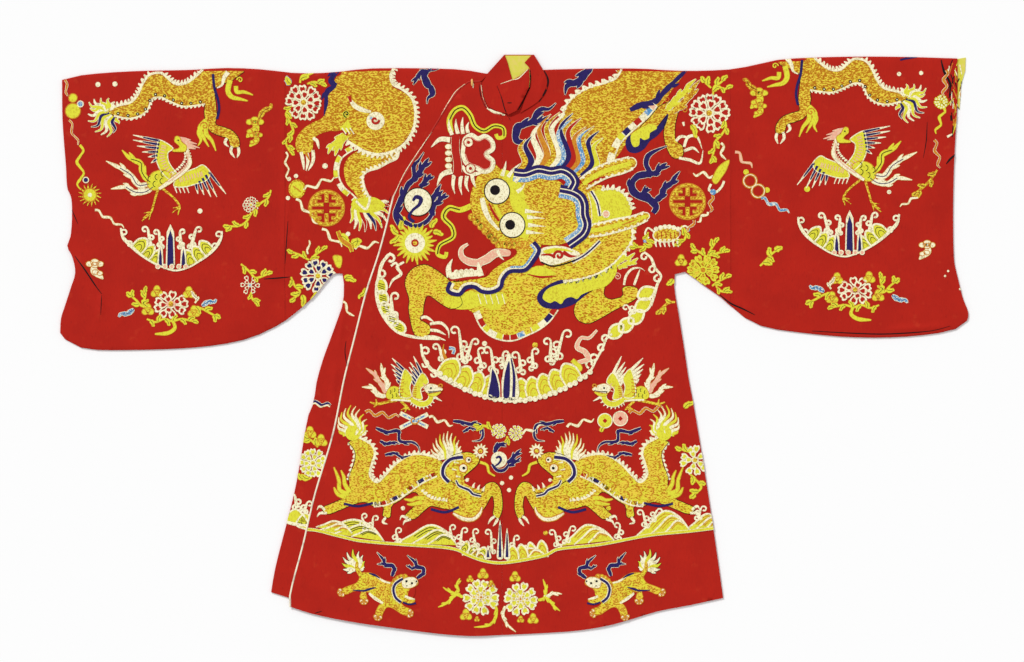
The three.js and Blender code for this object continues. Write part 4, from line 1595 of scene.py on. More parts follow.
@dataclass
class Blossom:
    """A round flower in rings of petals."""

    centre: Point
    radius: float
    petals: int = 11
    rim: Thread = CREAM
    heart: Thread = RED
    core: Thread = GOLD
    squash: float = 1.0

    def sew(self, n: Needlework, level: int = 3) -> None:
        """Sews the flower, each petal a little its own size.

        Args:
            n: The field that it is sewn in.
            level: How many layers up its lowest petals lie.
        """
        sway = random.Random(round(self.centre[0] * 7 + self.centre[1]))
        rings = ((0.76, self.petals, 0.255), (0.43, self.petals // 2 + 1, 0.235))
        for ring, (share, count, size) in enumerate(rings):
            for k in range(count):
                angle = 360 / count * (k + 0.5 * ring) + sway.uniform(-5, 5)
                x, y = polar((0, 0), angle, self.radius * share * sway.uniform(0.92, 1.06))
                place = (self.centre[0] + x, self.centre[1] + y * self.squash)
                turned = math.degrees(math.atan2(y * self.squash, x))
                petal = self.radius * size
                n.shape(notched(place, petal * 1.15, turned), self.rim, level + 2 * ring)
                n.shape(notched(place, petal * 0.68, turned), self.heart, level + 1 + 2 * ring)
        n.disc(self.centre, self.radius * 0.24, self.rim, level + 5)
        n.disc(self.centre, self.radius * 0.15, self.core, level + 6)


def wave(start: Point, end: Point, waves: float, swing: float) -> list[Point]:
    """The points of a wavy line between two places.

    Args:
        start: Where it starts.
        end: Where it ends.
        waves: How many full waves it makes.
        swing: How far it swings to each side.

    Returns:
        The points.
    """
    count = max(3, round(waves * 4))
    length = math.dist(start, end)
    across = ((end[1] - start[1]) / length, -(end[0] - start[0]) / length)
    made = []
    for i in range(count + 1):
        x, y = along(start, end, i / count)
        out = swing * math.sin(math.tau * waves * i / count)
        made.append((x + across[0] * out, y + across[1] * out))
    return made


def ribbon(
    n: Needlework, start: Point, end: Point, waves: float, swing: float, width: float,
    thread: Thread = CREAM,
) -> None:
    """Sews a fluttering ribbon with a fine edge, orange round a pale thread and cream round others."""
    edge = ORANGE if thread in (CREAM, LIME, PINK) else CREAM
    n.stroke(wave(start, end, waves, swing), [width, width * 0.8, width * 1.2, width * 0.7, width, 0.5],
        thread, 2, edge, 0.35)


def leaf(n: Needlework, root: Point, tip: Point, width: float, thread: Thread = LIME,
        edge: Thread = ORANGE) -> None:
    """Sews a leaf like a small flame, with a fine dark line along its middle.

    Args:
        n: The field that it is sewn in.
        root: Where it grows from.
        tip: Where it ends.
        width: Its width.
        thread: Its thread.
        edge: The thread of its edge.
    """
    out = ((tip[1] - root[1]) * 0.12, (root[0] - tip[0]) * 0.12)
    middle = along(root, tip, 0.45)
    path = [root, (middle[0] + out[0], middle[1] + out[1]), along(root, tip, 0.8),
        (tip[0] + out[0], tip[1] + out[1])]
    pulse = (0.3, 0.85, 1.15, 0.8, 1.05, 0.6, 0.7, 0.2)
    n.stroke(path, [width * p for p in pulse], thread, 3, edge, 0.5)
    n.stroke(path[:3], [0.4], DARK, 6)


def sprig(n: Needlework, stem: Sequence[Point], size: float, thread: Thread = LIME) -> None:
    """Sews a curling stem with leaves by turns on each side and one at its end.

    Args:
        n: The field that it is sewn in.
        stem: The points that its stem passes.
        size: The length of its leaves.
        thread: Its thread.
    """
    path = smooth(stem)
    n.line(path, [2.4, 3.0, 2.4], ORANGE, 2)
    n.line(path, [1.4, 2.0, 1.4], thread, 3)
    ways = normals(path)
    pitch = max(4, round(size * 1.35))
    for i in range(pitch // 2, len(path) - 3, pitch):
        side = 1 if (i // pitch) % 2 else -1
        n_x, n_y = ways[i]
        x, y = path[min(i + 4, len(path) - 1)]
        leaf(n, path[i], (x + n_x * side * size * 1.15, y + n_y * side * size * 1.15), size * 0.92, thread)
    leaf(n, path[-4], (path[-1][0] * 1.9 - path[-4][0] * 0.9, path[-1][1] * 1.9 - path[-4][1] * 0.9),
        size * 0.95, thread)


def bud(n: Needlework, centre: Point, radius: float) -> None:
    """Sews a round bud of three lobes.

    Args:
        n: The field that it is sewn in.
        centre: Its middle.
        radius: Its radius.
    """
    for angle in (-90, 30, 150):
        n.fill(oval(polar(centre, angle, radius * 0.45), radius * 0.75, radius * 0.6, angle, 12),
            LIME, 3, ORANGE, 0.8)
    n.disc(centre, radius * 0.35, GOLD, 5)


def roundel(n: Needlework, centre: Point, radius: float) -> None:
    """Sews a medallion of a plain geometric fret in couched cord.

    Args:
        n: The field that it is sewn in.
        centre: Its middle.
        radius: Its radius.
    """
    x, y = centre

    def bar(a: Point, b: Point, width: float) -> None:
        """Sews one bar of the fret over its darker edge.

        Args:
            a: One end, in radii from the middle.
            b: The other end.
            width: Its width with its edge.
        """
        ends = [(x + a[0] * radius, y + a[1] * radius), (x + b[0] * radius, y + b[1] * radius)]
        n.line(ends, [width + 1.2], ORANGE, 2)
        n.line(ends, [width - 0.8], GOLD, 4)

    n.line(arc(centre, radius - 1.5, 0, 360, 41), [4.2], ORANGE, 2)
    n.line(arc(centre, radius - 1.5, 0, 360, 41), [2.0], GOLD, 4)
    for rise in (-0.56, -0.19, 0.19, 0.56):
        half = math.sqrt(1 - rise**2) - 0.12
        for side in (-1, 1):
            bar((side * (0.16 if abs(rise) < 0.3 else 0.28), rise), (side * half, rise), 2.8)
    for side in (-1, 1):
        bar((side * 0.6, -0.56), (side * 0.6, -0.19), 2.4)
        bar((side * 0.6, 0.19), (side * 0.6, 0.56), 2.4)
    bar((0, -0.95), (0, -0.3), 3.4)
    bar((0, 0.3), (0, 0.95), 3.4)


def beads(n: Needlework, places: Iterable[Point], radius: float = 2.6, thread: Thread = CREAM) -> None:
    """Sews small round dots."""
    for place in places:
        n.disc(place, radius, thread, 2)


def cloud(n: Needlework, centre: Point, size: float, side: int = 1, thread: Thread = CREAM) -> None:
    """Sews a small lobed cloud with a trailing tail to one side.

    Args:
        n: The field that it is sewn in.
        centre: Its middle.
        size: Half its width.
        side: 1 for a tail to the right, -1 for one to the left.
        thread: Its thread.
    """
    x, y = centre
    tail = [(x, y), (x - side * size * 0.1, y + size * 0.8), (x + side * size * 0.4, y + size * 1.2)]
    n.stroke([*tail, (x + side * size, y + size * 1.8)], [size * 0.5, size * 0.8, size * 0.8, 0.6], thread,
        2, ORANGE, 0.5)
    for across, down, share in (
        (-0.62, 0.0, 0.42), (0.62, 0.0, 0.42), (0.0, -0.22, 0.5), (0.0, 0.12, 0.42),
        (side * 0.05, 0.95, 0.36), (side * 0.6, 1.1, 0.34),
    ):
        n.fill(oval((x + across * size, y + down * size), size * share, size * share * 0.8),
            thread, 4, ORANGE, 0.7)


@dataclass
class Phoenix:
    """A bird with both wings open and three long plumes, drawn as the left sleeve has it."""

    quill: Thread = BLUE  # the thread of its feathers near their roots

    def sew(self, n: Needlework) -> None:
        """Sews the bird.

        Args:
            n: The field that it is sewn in.
        """
        for points, thread in (
            ([(148, 181), (142, 172), (141, 163), (131, 159), (122, 150)], LIME),
            ([(149, 184), (138, 185), (131, 175), (120, 168), (106, 161)], CREAM),
            ([(153, 187), (145, 192), (135, 192), (126, 187), (111, 189)], CREAM),
        ):
            n.flame(points, 4.4, thread, 2, ORANGE)
            n.stroke(points[:4], [0.8], DARK if thread is LIME else BLUE, 5)
        self._wing(n, ((160, 141), (157, 159)),
            [(133, 135), (133, 140), (137, 146), (142, 152), (148, 157), (151, 163)])
        n.shape([(160, 140), (173, 148), (168, 153), (169, 162), (175, 171), (180, 176), (171, 180),
            (161, 171), (156, 158), (157, 147)], LIME, 3, CREAM, 1.0)
        self._ribs(n, [(164, 146), (162, 156), (166, 167), (174, 176)])
        self._wing(n, ((209, 172), (196, 184)), [(226, 194), (217, 197), (211, 197), (204, 195), (198, 194)])
        n.shape([(177, 178), (186, 172), (196, 168), (203, 165), (210, 172), (207, 180), (196, 184),
            (184, 187), (174, 186)], LIME, 3, CREAM, 1.0)
        self._ribs(n, [(180, 180), (190, 177), (202, 174)])
        for x in (174, 178, 182, 186):
            n.stroke([(x, 185), (x + 3, 193)], [1.8, 0.8], CREAM, 2)
        n.shape([(147, 182), (152, 173), (162, 170), (171, 174), (168, 182), (158, 190), (150, 189)], LIME,
            4, ORANGE, 0.8)
        n.stroke([(159, 189), (168, 183), (176, 177), (184, 171), (190, 163), (188, 154), (187, 147)],
            [2.6, 3.8, 4.4, 4.4, 3.8, 3.2, 2.6], CREAM, 6, ORANGE, 0.5)
        n.saw([(176, 178), (186, 169), (191, 160), (188, 148)], 3.4, 2.6, CREAM, 6)
        n.saw([(172, 173), (181, 165), (185, 158), (184, 150)], -2.4, 2.6, CREAM, 6)
        n.stroke([(168, 182), (178, 175), (187, 165), (188, 152)], [1.0], PINK, 9)
        for x, y in ((151, 179), (156, 184), (158, 177), (163, 181), (164, 174)):
            n.line(arc((x, y), 3.0, 100, 260, 6), [0.7], DARK, 6)
        for root, tip in (
            ((179, 138), (191, 140)), ((181, 140), (197, 144)), ((183, 143), (200, 148)),
            ((184, 146), (196, 149)),
        ):
            n.stroke([root, along(root, tip, 0.6), tip], [2.6, 3.0, 0.5], PINK, 7)
        n.shape([(175, 137), (178, 136), (180.5, 138.5), (182, 142), (186, 145), (187, 148), (185, 151.5),
            (179, 152), (172.5, 151.5), (173, 149.5), (178, 148.5), (179.5, 146.5), (177, 144),
            (174.5, 141.5)], LIME, 9, ORANGE, 0.6)
        n.disc((178.3, 140.3), 0.8, DARK, 12)
        for leg in (
            [(158, 189), (154, 203), (151, 212), (142, 221)],
            [(163, 189), (174, 198), (180, 207), (178, 213)],
        ):
            n.stroke(leg, [2.6, 2.0, 2.2, 1.0], GOLD, 3)
            x, y = leg[2]
            for toe in ((-7, 1), (-8, 6), (-2, 8)):
                n.stroke([(x, y), (x + toe[0], y + toe[1])], [1.8, 0.6], GOLD, 3)

    def _wing(self, n: Needlework, roots: tuple[Point, Point], tips: Sequence[Point]) -> None:
        """Sews a row of long feathers, dark near the root and cream at the tip.

        Args:
            n: The field that it is sewn in.
            roots: The ends of the line that the feathers grow from.
            tips: Where they end.
        """
        for i, tip in enumerate(tips):
            root = along(*roots, i / (len(tips) - 1))
            n.stroke([root, along(root, tip, 0.5), tip], [3.2, 2.6, 0.6], CREAM, 2)
            n.stroke([root, along(root, tip, 0.62)], [2.6, 1.2], self.quill, 4)

    @staticmethod
    def _ribs(n: Needlework, points: Sequence[Point]) -> None:
        """Sews the short pink coverts across a wing.

        Args:
            n: The field that it is sewn in.
            points: The middle line of the coverts.
        """
        path = smooth(points)
        for (x, y), (a, b) in list(zip(path, normals(path)))[::2]:
            n.line([(x - a * 2.4, y - b * 2.4), (x + a * 2.4, y + b * 2.4)], [0.9], PINK, 5)


@dataclass
class SleeveBeast:
    """The scaled beast that comes over the sleeve's fold, drawn as the left sleeve has it."""

    crest: float = 4.2  # height of the teeth along its back
    fringe: float = 2.4  # height of those along its belly
    tooth: float = 4.2  # their spacing

    def sew(self, n: Needlework) -> None:
        """Sews the beast.

        Args:
            n: The field that it is sewn in.
        """
        n.tuft(((105, 111), (116, 118)), [(90, 108), (88, 114), (88, 121), (91, 127), (95, 132), (101, 135),
            (107, 137), (113, 133), (119, 124)], [LIME, CREAM, LIME, BLUE], 3.0, 1)
        n.tuft(((104, 112), (110, 109)), [(89, 102), (94, 99), (101, 98), (109, 98), (115, 102)],
            [LIME, CREAM, LIME], 3.4, 1)
        back = [(104, 111), (118, 105.5), (131, 102), (138, 94), (143, 83), (150, 74.5), (161, 73),
            (169, 79), (176, 84), (186, 83), (196, 76), (203, 69)]
        n.saw(back, self.crest, self.tooth, CREAM, 1)
        belly = [(205, 104), (196, 105.5), (183, 106.5), (171, 102), (161, 97.5), (152, 99), (148, 109),
            (140, 116), (128, 118.5), (114, 115.5)]
        n.fill([*smooth(back), (206, 60), (243, 62), (244, 72), (233, 80), (223, 84), (216, 88),
            *smooth([(215, 95), (217, 115), (216, 124), (224, 127), (233, 131), (239, 139), (239, 147),
            (231, 147), (228, 139), (220, 136), (211, 132), (206, 124), (204, 112)]), *smooth(belly)],
            GOLD, 1, DARK, 0.6)
        n.stroke(back, [2.4], CREAM, 2)
        n.saw(belly, self.fringe, self.tooth, CREAM, 2)
        n.stroke(belly, [1.6], CREAM, 3)
        for x, y in smooth(belly)[4::7]:
            n.disc((x, y - 3), 1.2, CREAM, 3, DARK)
        n.stroke([(213, 74), (214.5, 88), (218, 100), (219, 110), (217, 119)], [2.6], BLUE, 4)
        n.stroke([(228, 72), (224, 78), (222, 85), (217, 88)], [5.0, 4.0, 2.6, 1.0], CREAM, 4)
        n.stroke([(230, 80), (228, 91), (232, 97), (240, 99), (248, 101)], [5.0, 5.0, 4.4, 3.0, 0.6], LIME,
            2, ORANGE, 0.5)
        n.stroke([(236, 86), (237, 92), (244, 92), (253, 95)], [4.0, 3.6, 2.6, 0.6], LIME, 2, ORANGE, 0.5)
        n.stroke(coil((240, 80), 3.2, 180, 1.2), [1.2], LIME, 3)
        for points in (
            [(206, 120), (200, 128), (204, 138), (209, 147)],
            [(207, 122), (206, 133), (212, 141), (216, 151)],
            [(205, 124), (199, 132), (201, 140), (198, 146)],
        ):
            n.stroke(points, [3.6, 4.4, 2.8, 0.4], LIME, 3, ORANGE, 0.5)
        n.stroke(coil((204.5, 126), 4.2, 180, 1.3), [1.2], ORANGE, 5)
        n.claws([[(227, 138), (225, 143), (229, 147)], [(232, 146), (231, 152), (235, 158)],
                 [(238, 147), (239, 152), (237, 158)]], 2.6)


def sleeve_waves(n: Needlework) -> None:
    """Sews the small crescent of hills and foam, drawn as the left sleeve has it.

    Args:
        n: The field that it is sewn in.
    """
    for root, tip, size, side in (
        ((151, 248), (148, 229), 3.2, -1), ((161, 247), (159, 232), 2.8, -1),
        ((181, 247), (180, 232), 2.8, 1), ((191, 247), (196, 229), 3.2, 1),
    ):
        n.spray(root, tip, size, side, 2.3)
    for feet in (
        [(157, 265), (149, 260), (141, 254), (132, 246)],
        [(187, 266), (197, 262), (206, 256), (214, 249)],
    ):
        for k, (inner, outer) in enumerate(zip(feet, feet[1:])):
            n.hump(*sorted((inner, outer)), 15.0, 3 + 2 * k, DARK)
    rim = [(121, 228), (123, 237), (130, 245), (140, 254), (152, 262), (164, 267.5), (175, 270.5),
        (187, 268), (198, 262), (208, 255), (216, 247), (221, 238), (222, 231)]
    n.stroke(rim, [1.8, 3.6, 3.0, 2.4, 2.0, 1.8, 1.8, 1.8, 2.0, 2.8, 3.4, 1.8], CREAM, 9)
    for x, top, half in ((170.5, 224, 4.6), (160.5, 242, 3.0), (183.5, 243, 3.2)):
        for shrink, drop, thread, level in ((0.0, 0.0, CREAM, 9), (1.4, 6.0, BLUE, 11)):
            reach, peak = half - shrink, top + drop
            n.fill([(x - reach, 265), (x - reach * 0.8, peak + 8), (x, peak), (x + reach * 0.8, peak + 8),
                (x + reach, 265)], thread, level)
    for x, y, heading, side in (
        (121, 232, -80, 1), (127, 242, -50, 1), (222, 234, -100, -1), (217, 244, -140, -1),
    ):
        n.hook((x, y), heading, 3.4, side, 2.0, CREAM, 10)
    for x in (158, 165, 172, 179, 186):
        n.disc((x, 266.5), 2.2, PINK, 11, CREAM)


def peony_spray(n: Needlework) -> None:
    """Sews a peony with its leaves and curling stems, drawn as the left sleeve has it.

    Args:
        n: The field that it is sewn in.
    """
    sprig(n, [(151, 307), (142, 306), (136, 300), (129, 294)], 5.0)
    sprig(n, [(142, 306), (145, 297), (146, 289)], 4.0)
    sprig(n, [(193, 306), (203, 309), (210, 313), (218, 317)], 5.0)
    sprig(n, [(195, 303), (197, 299), (194, 294)], 4.0, CREAM)
    leaf(n, (134, 309), (118, 315), 4.2, SKY, CREAM)
    leaf(n, (202, 306), (217, 301), 4.0, SKY, CREAM)
    sprig(n, [(147, 319), (156, 322), (164, 319), (172, 321), (182, 319), (196, 322)], 4.4)
    n.stroke([(173, 321), (175, 328), (168, 333), (155, 334)], [2.2, 3.4, 3.6, 1.0], LIME, 3, ORANGE, 0.5)
    for x, y in ((157, 292), (189, 293), (148, 310), (194, 312)):
        bud(n, (x, y), 5.6)
    Blossom((171, 304.5), 17, 9, CREAM, RED, GOLD, 0.72).sew(n, 4)
    n.fill(oval((171, 304), 5.0, 3.2), PINK, 10)
    n.disc((171, 303.5), 2.4, GOLD, 12)


@dataclass
class LeftSleeve:
    """The field on the wearer's right sleeve, at the left of the chart."""

    wheel: Point = (90.0, 195.0)  # the rayed disc
    rays: int = 16

    def sew(self, n: Needlework) -> None:
        """Sews the field.

        Args:
            n: The field that it is sewn in.
        """
        SleeveBeast().sew(n)
        Phoenix().sew(n)
        sleeve_waves(n)
        peony_spray(n)
        beads(n, ((98, 84.5), (115, 84), (200, 211)))
        for centre, size in (((255, 122), 8.6), ((256, 135), 6.4)):
            cloud(n, centre, size, -1, LIME)
        leaf(n, (259, 119), (273, 105), 4.6, GOLD)
        n.disc((73, 98), 4.4, LIME, 2, ORANGE)
        n.disc((73, 111), 7.6, LIME, 2, ORANGE)
        n.disc((80.5, 104), 3.0, SKY, 3, CREAM)
        n.disc((86, 180), 2.8, BLUE, 3, CREAM)
        ribbon(n, (65, 80), (68, 96), 1.0, 1.4, 1.8, ORANGE)
        ribbon(n, (69, 120), (78, 145), 1.5, 1.8, 1.5, ORANGE)
        ribbon(n, (80, 145), (81, 190), 2.0, 3.4, 2.4, LIME)
        for k in range(self.rays):
            angle = 360 / self.rays * k
            n.stroke([polar(self.wheel, angle, 5), polar(self.wheel, angle + 14, 11.5)], [2.6, 0.5], GOLD, 3)
        n.disc(self.wheel, 6.6, LIME, 4, ORANGE)
        n.disc(self.wheel, 2.2, CREAM, 6)
        ribbon(n, (95, 210), (124, 228), 2.5, 1.6, 2.2)
        sprig(n, [(271, 190), (268, 198), (261, 203), (252, 212), (246, 222), (238, 226), (226, 226)], 4.6)
        Blossom((251, 205), 8, 12, CREAM, RED, GOLD).sew(n)
        sprig(n, [(241, 264), (250, 272), (256, 278), (270, 273)], 4.6)
        Blossom((250, 285), 9.5, 6, CREAM, RED, SKY).sew(n)
        sprig(n, [(251, 292), (252, 298), (257, 304)], 4.0)
        cloud(n, (95, 264), 8.4)


@dataclass
class RightSleeve:
    """The field on the wearer's left sleeve, at the right of the chart."""

    fold: float = 507.5  # what the left sleeve also has is turned over about this line or near it

    def sew(self, n: Needlework) -> None:
        """Sews the field.

        Args:
            n: The field that it is sewn in.
        """
        with n.moved(self.fold, (0, -14)):
            SleeveBeast().sew(n)
        with n.moved(self.fold + 4, (0, -9)):
            Phoenix().sew(n)
        with n.moved(self.fold + 2.5, (0, -14)):
            sleeve_waves(n)
        with n.moved(self.fold + 2.5, (6, -14)):
            peony_spray(n)
        beads(n, ((899, 74), (921, 73), (889, 192)), 2.2)
        beads(n, ((807, 189),), 3.0, LIME)
        for centre, size in (((759, 93), 8.6), ((760, 106), 6.4)):
            cloud(n, centre, size, -1, LIME)
        leaf(n, (757, 90), (744, 78), 4.6, GOLD)
        ribbon(n, (735, 152), (752, 168), 1.5, 2.4, 2.6, PINK)
        for centre in ((750, 181), (758, 191)):
            n.stroke(arc(centre, 6.4, 0, 360, 17), [2.8], ORANGE, 3)
            n.stroke(arc(centre, 6.4, 0, 360, 17), [0.8], CREAM, 5)
        beads(n, ((746, 172), (767, 190)), 2.8, LIME)
        ribbon(n, (761, 198), (789, 213), 2.5, 1.8, 2.6, SKY)
        ribbon(n, (946, 70), (944, 96), 2.0, 2.0, 2.4, ORANGE)
        Blossom((941, 102), 7, 12, LIME, CREAM, GOLD).sew(n)
        ribbon(n, (944, 108), (936, 134), 2.0, 2.0, 2.4, LIME)
        ribbon(n, (934, 140), (940, 168), 2.0, 2.0, 2.2, ORANGE)
        sprig(n, [(937, 170), (930, 180), (922, 188), (914, 194)], 4.6, GOLD)
        ribbon(n, (919, 195), (900, 207), 2.0, 1.4, 2.0, CREAM)
        sprig(n, [(760, 266), (767, 259), (774, 252), (779, 249)], 6.0)
        leaf(n, (768, 257), (774, 262), 4.4, LIME)
        cloud(n, (927, 245), 8.0, -1)
        n.stroke([(900, 60), (908, 58), (917, 57)], [1.6, 2.4, 1.2], BLUE, 2)
        n.stroke([(947, 137), (952, 134)], [2.4, 1.4], CREAM, 2)
        for place in ((945, 276), (948, 271), (959, 277), (961, 284), (960, 289)):
            n.disc(place, 1.2, CREAM, 2)


@dataclass
class Shoulders:
    """The garlands and the beast's hindquarters over both shoulders."""

    roundels: tuple[Point, Point] = ((326.5, 208.0), (687.5, 201.5))
    roundel_radius: float = 18.0

    def sew_left(self, n: Needlework) -> None:
        """Sews the shoulder at the left of the chart.

        Args:
            n: The field that it is sewn in.
        """
        self._hindquarters(n)
        self._tail(n)
        n.flame([(440, 66), (428, 70), (424, 76), (426, 84), (432, 88), (433, 94), (428, 98), (427, 104)],
            5.0)
        n.flame([(428, 71), (420, 73), (416, 80), (413, 85)], 3.4)
        Blossom((303.5, 102.5), 18, 12, CREAM, RED, GOLD).sew(n)
        sprig(n, [(300, 83), (302, 76), (310, 74), (318, 70)], 5.0)
        sprig(n, [(307, 84), (314, 82), (324, 85)], 4.4, LIME)
        leaf(n, (291, 84), (286, 77), 5.6, LIME, SKY)
        sprig(n, [(292, 106), (286, 114), (291, 124), (293, 133), (286, 140), (288, 148), (292, 153)], 4.0)
        beads(n, ((325, 166),), 2.8)
        ribbon(n, (286, 152), (288, 180), 2.0, 1.6, 1.8)
        n.fill(oval((297, 189), 7.6, 8.6), LIME, 2, GOLD, 1.8)
        n.stroke([(293, 186), (301, 192)], [1.2], ORANGE, 5)
        beads(n, ((289, 179), (296, 176), (288, 198)), 2.2)
        ribbon(n, (304, 190), (334, 177), 2.0, 2.6, 2.4)
        ribbon(n, (296, 199), (318, 224), 2.0, 1.8, 2.4)
        roundel(n, self.roundels[0], self.roundel_radius)
        ribbon(n, (322, 229), (342, 247), 1.5, 2.2, 2.4)
        for x, y, turn in ((340, 236, 30), (352, 244, -20), (357, 238, 100)):
            leaf(n, (x, y), polar((x, y), turn, 10), 6.4, LIME)
        n.stroke([(338, 231), (342, 240), (350, 246), (352, 252)], [2.6, 3.4, 4.0, 2.0],
            ORANGE, 4, LIME, 0.8)
        n.disc((348, 234), 2.4, CREAM, 4)
        ribbon(n, (355, 249), (379, 243), 1.5, 2.2, 2.4)
        sprig(n, [(309, 260), (302, 256), (297, 254), (290, 251)], 4.4)
        sprig(n, [(310, 260), (315, 255), (325, 248)], 4.0)
        ribbon(n, (308, 254), (309, 240), 1.0, 1.2, 1.8)
        Blossom((318, 276), 17, 11, CREAM, BLUE, GOLD).sew(n)
        n.shape([(333, 256), (341, 256), (342, 262), (340, 268), (336, 266)], LIME, 2, ORANGE, 0.8)
        sprig(n, [(291, 277), (295, 286), (300, 292), (292, 300)], 4.8)
        leaf(n, (302, 295), (303, 307), 5.0)
        leaf(n, (317, 292), (311, 301), 5.0)
        for x, y in ((346, 276), (350, 281)):
            leaf(n, (345, 279), (x + 6, y), 5.0)
        ribbon(n, (342, 301), (353, 317), 1.2, 1.8, 2.2)
        leaf(n, (366, 288), (358, 298), 4.0)

    def _hindquarters(self, n: Needlework) -> None:
        """Sews the rounded rump and the hind leg.

        Args:
            n: The field that it is sewn in.
        """
        n.flame([(340, 66), (331, 80), (334, 86), (327, 92), (326, 104), (324, 116)], 4.8, casing=None)
        n.fill([(341, 60), *smooth([(336, 78), (333, 84), (335, 88), (328, 96), (327, 108), (322, 118),
            (312, 123), (302, 130), (296, 140), (297, 151), (305, 154), (312, 150), (314, 139), (320, 134),
            (330, 131), (338, 131), (346, 128), (351, 124), (348, 134), (347, 140), (356, 147), (368, 152),
            (380, 153), (395, 149), (405, 140), (413, 127), (414, 112), (411, 99), (403, 92), (393, 87),
            (391, 79)]), (394, 60)], GOLD, 1)
        edge = [(398, 62), (391, 74), (393, 84), (402, 89), (412, 98), (415.5, 112), (414, 127), (407, 141),
            (396, 150), (380, 154.5), (366, 152), (355, 146), (347, 141)]
        n.saw(edge, 4.6, 4.6, CREAM, 2)
        n.stroke(edge, [2.8], CREAM, 3)
        n.stroke([(348, 97), (355, 106), (363, 110), (371, 112)], [1.0, 4.6, 4.8, 2.4], CREAM, 4)
        n.stroke([(349, 96), (351, 102)], [3.4, 2.4], RED, 5)
        n.disc((375.5, 121), 9.0, CREAM, 4)
        n.stroke(coil((375, 120), 4.4, 0, 1.0), [2.4], RED, 6)
        n.disc((371, 118), 1.4, SKY, 8)
        n.fill([(348, 119), (352, 128), (346, 133), (340, 128)], LIME, 4)
        n.stroke(coil((346.5, 114), 3.4, 90, 1.2), [1.2], DARK, 5, LIME, 0.8)
        for x in (342, 346, 350):
            n.stroke([(x, 128), (x + 4, 134)], [1.2], CREAM, 6)
        n.flame([(344, 134), (337, 141), (331, 147), (328, 154)], 4.0, LIME)
        n.flame([(347, 136), (341, 143), (337, 149), (335, 156)], 4.0, LIME)
        n.claws([[(313, 138), (317, 141), (319, 149)], [(301, 152), (303, 161), (304, 170)],
                 [(307, 153), (308, 161), (306, 171)], [(313, 150), (313, 161), (308, 171)]], 3.0)
        n.stroke([(306, 153), (310, 161)], [3.0, 0.8], ORANGE, 4)

    def _tail(self, n: Needlework) -> None:
        """Sews the curled tail with its brush.

        Args:
            n: The field that it is sewn in.
        """
        edge = [(399, 150), (397, 158), (389, 162), (378, 168), (368, 171), (363, 176), (364, 186),
            (368, 195), (373, 205)]
        n.shape([(356, 152), (368, 153), (382, 155), (399, 150), (395, 158), (382, 165), (369, 170),
            (363, 176), (364, 188), (367, 199), (361, 203), (354, 192), (347, 184), (344, 172), (346, 161)],
            GOLD, 0)
        n.saw(edge, -3.8, 4.2, CREAM, 1)
        n.stroke(edge, [2.2], CREAM, 1)
        n.stripes([(353, 150), (343, 157), (339, 166), (339, 177), (344, 187), (352, 194), (359, 201)], -5.0,
                  [LIME, RED, LIME, CREAM, LIME, RED, CREAM, LIME, RED, LIME])
        tips = [(350, 223), (354, 229), (359, 231), (365, 232), (371, 229), (376, 231), (382, 228),
            (387, 222), (389, 214), (391, 207), (389, 202)]
        n.tuft(((356, 203), (374, 203)), tips, [LIME, CREAM, LIME, RED, CREAM, BLUE], 4.0, 0, 0.05)
        n.shape([(351, 205), (357, 199), (372, 197), (380, 200), (385, 206), (376, 212), (360, 212)],
            LIME, 3)
        n.stroke([(356, 201), (361, 206), (366, 209), (369, 203), (370, 196)], [2.4], CREAM, 5)

    def sew_right(self, n: Needlework) -> None:
        """Sews the shoulder at the right of the chart.

        Args:
            n: The field that it is sewn in.
        """
        sprig(n, [(713, 95), (714, 87), (720, 83), (725, 78)], 4.8)
        sprig(n, [(711, 88), (707, 84), (703, 79)], 5.2)
        sprig(n, [(718, 86), (724, 89), (730, 87)], 4.4)
        Blossom((709, 113), 20, 12, CREAM, RED, GOLD, 0.95).sew(n)
        sprig(n, [(723, 118), (726, 126), (722, 134), (715, 142), (714, 150), (711, 161)], 4.4)
        leaf(n, (691, 125), (696, 138), 5.0)
        n.stroke([(683, 122), (684, 126)], [2.6, 1.6], CREAM, 2)
        ribbon(n, (721, 143), (724, 160), 1.2, 2.2, 2.4)
        n.shape([(729, 160), (727, 169), (722, 177), (716, 184), (712, 180), (715, 172), (720, 165)], LIME,
            3, ORANGE, 0.8)
        ribbon(n, (713, 176), (693, 173), 1.5, 2.4, 2.4)
        n.stroke([(711, 184), (709, 190), (716, 192), (722, 186), (724, 181)], [2.4], CREAM, 3)
        n.disc((713, 192), 3.0, SKY, 4)
        ribbon(n, (712, 195), (710, 212), 1.5, 1.8, 2.4, ORANGE)
        ribbon(n, (708, 212), (697, 222), 1.5, 1.6, 2.4)
        roundel(n, self.roundels[1], self.roundel_radius)
        ribbon(n, (694, 220), (688, 232), 1.0, 1.6, 2.2, ORANGE)
        n.shape([(653, 235), (658, 228), (668, 226), (677, 228), (680, 234), (675, 240), (664, 242),
            (656, 240)], GOLD, 2, CREAM, 1.2)
        for k in range(6):
            x = 656 + 4.4 * k
            n.disc((x, 229 - 2.4 * math.sin(math.pi * k / 5)), 2.4, CREAM, 5)
            n.stroke([(x, 239), (x - 0.6, 243), (x + 0.4, 247)], [2.6, 2.2, 0.8], CREAM, 4)
            n.line([(x + 1, 232), (x + 1, 238)], [0.7], RED, 5)
        n.stroke([(654, 232), (648, 228), (645, 234), (649, 238)], [1.8], CREAM, 3)
        n.stroke([(678, 231), (684, 226), (689, 228)], [1.8], CREAM, 3)
        beads(n, ((645, 241), (688, 230)), 2.0, SKY)
        sprig(n, [(648, 232), (647, 240), (651, 246), (638, 247), (632, 247)], 4.0)
        sprig(n, [(681, 226), (686, 232), (684, 240), (677, 244)], 4.0)
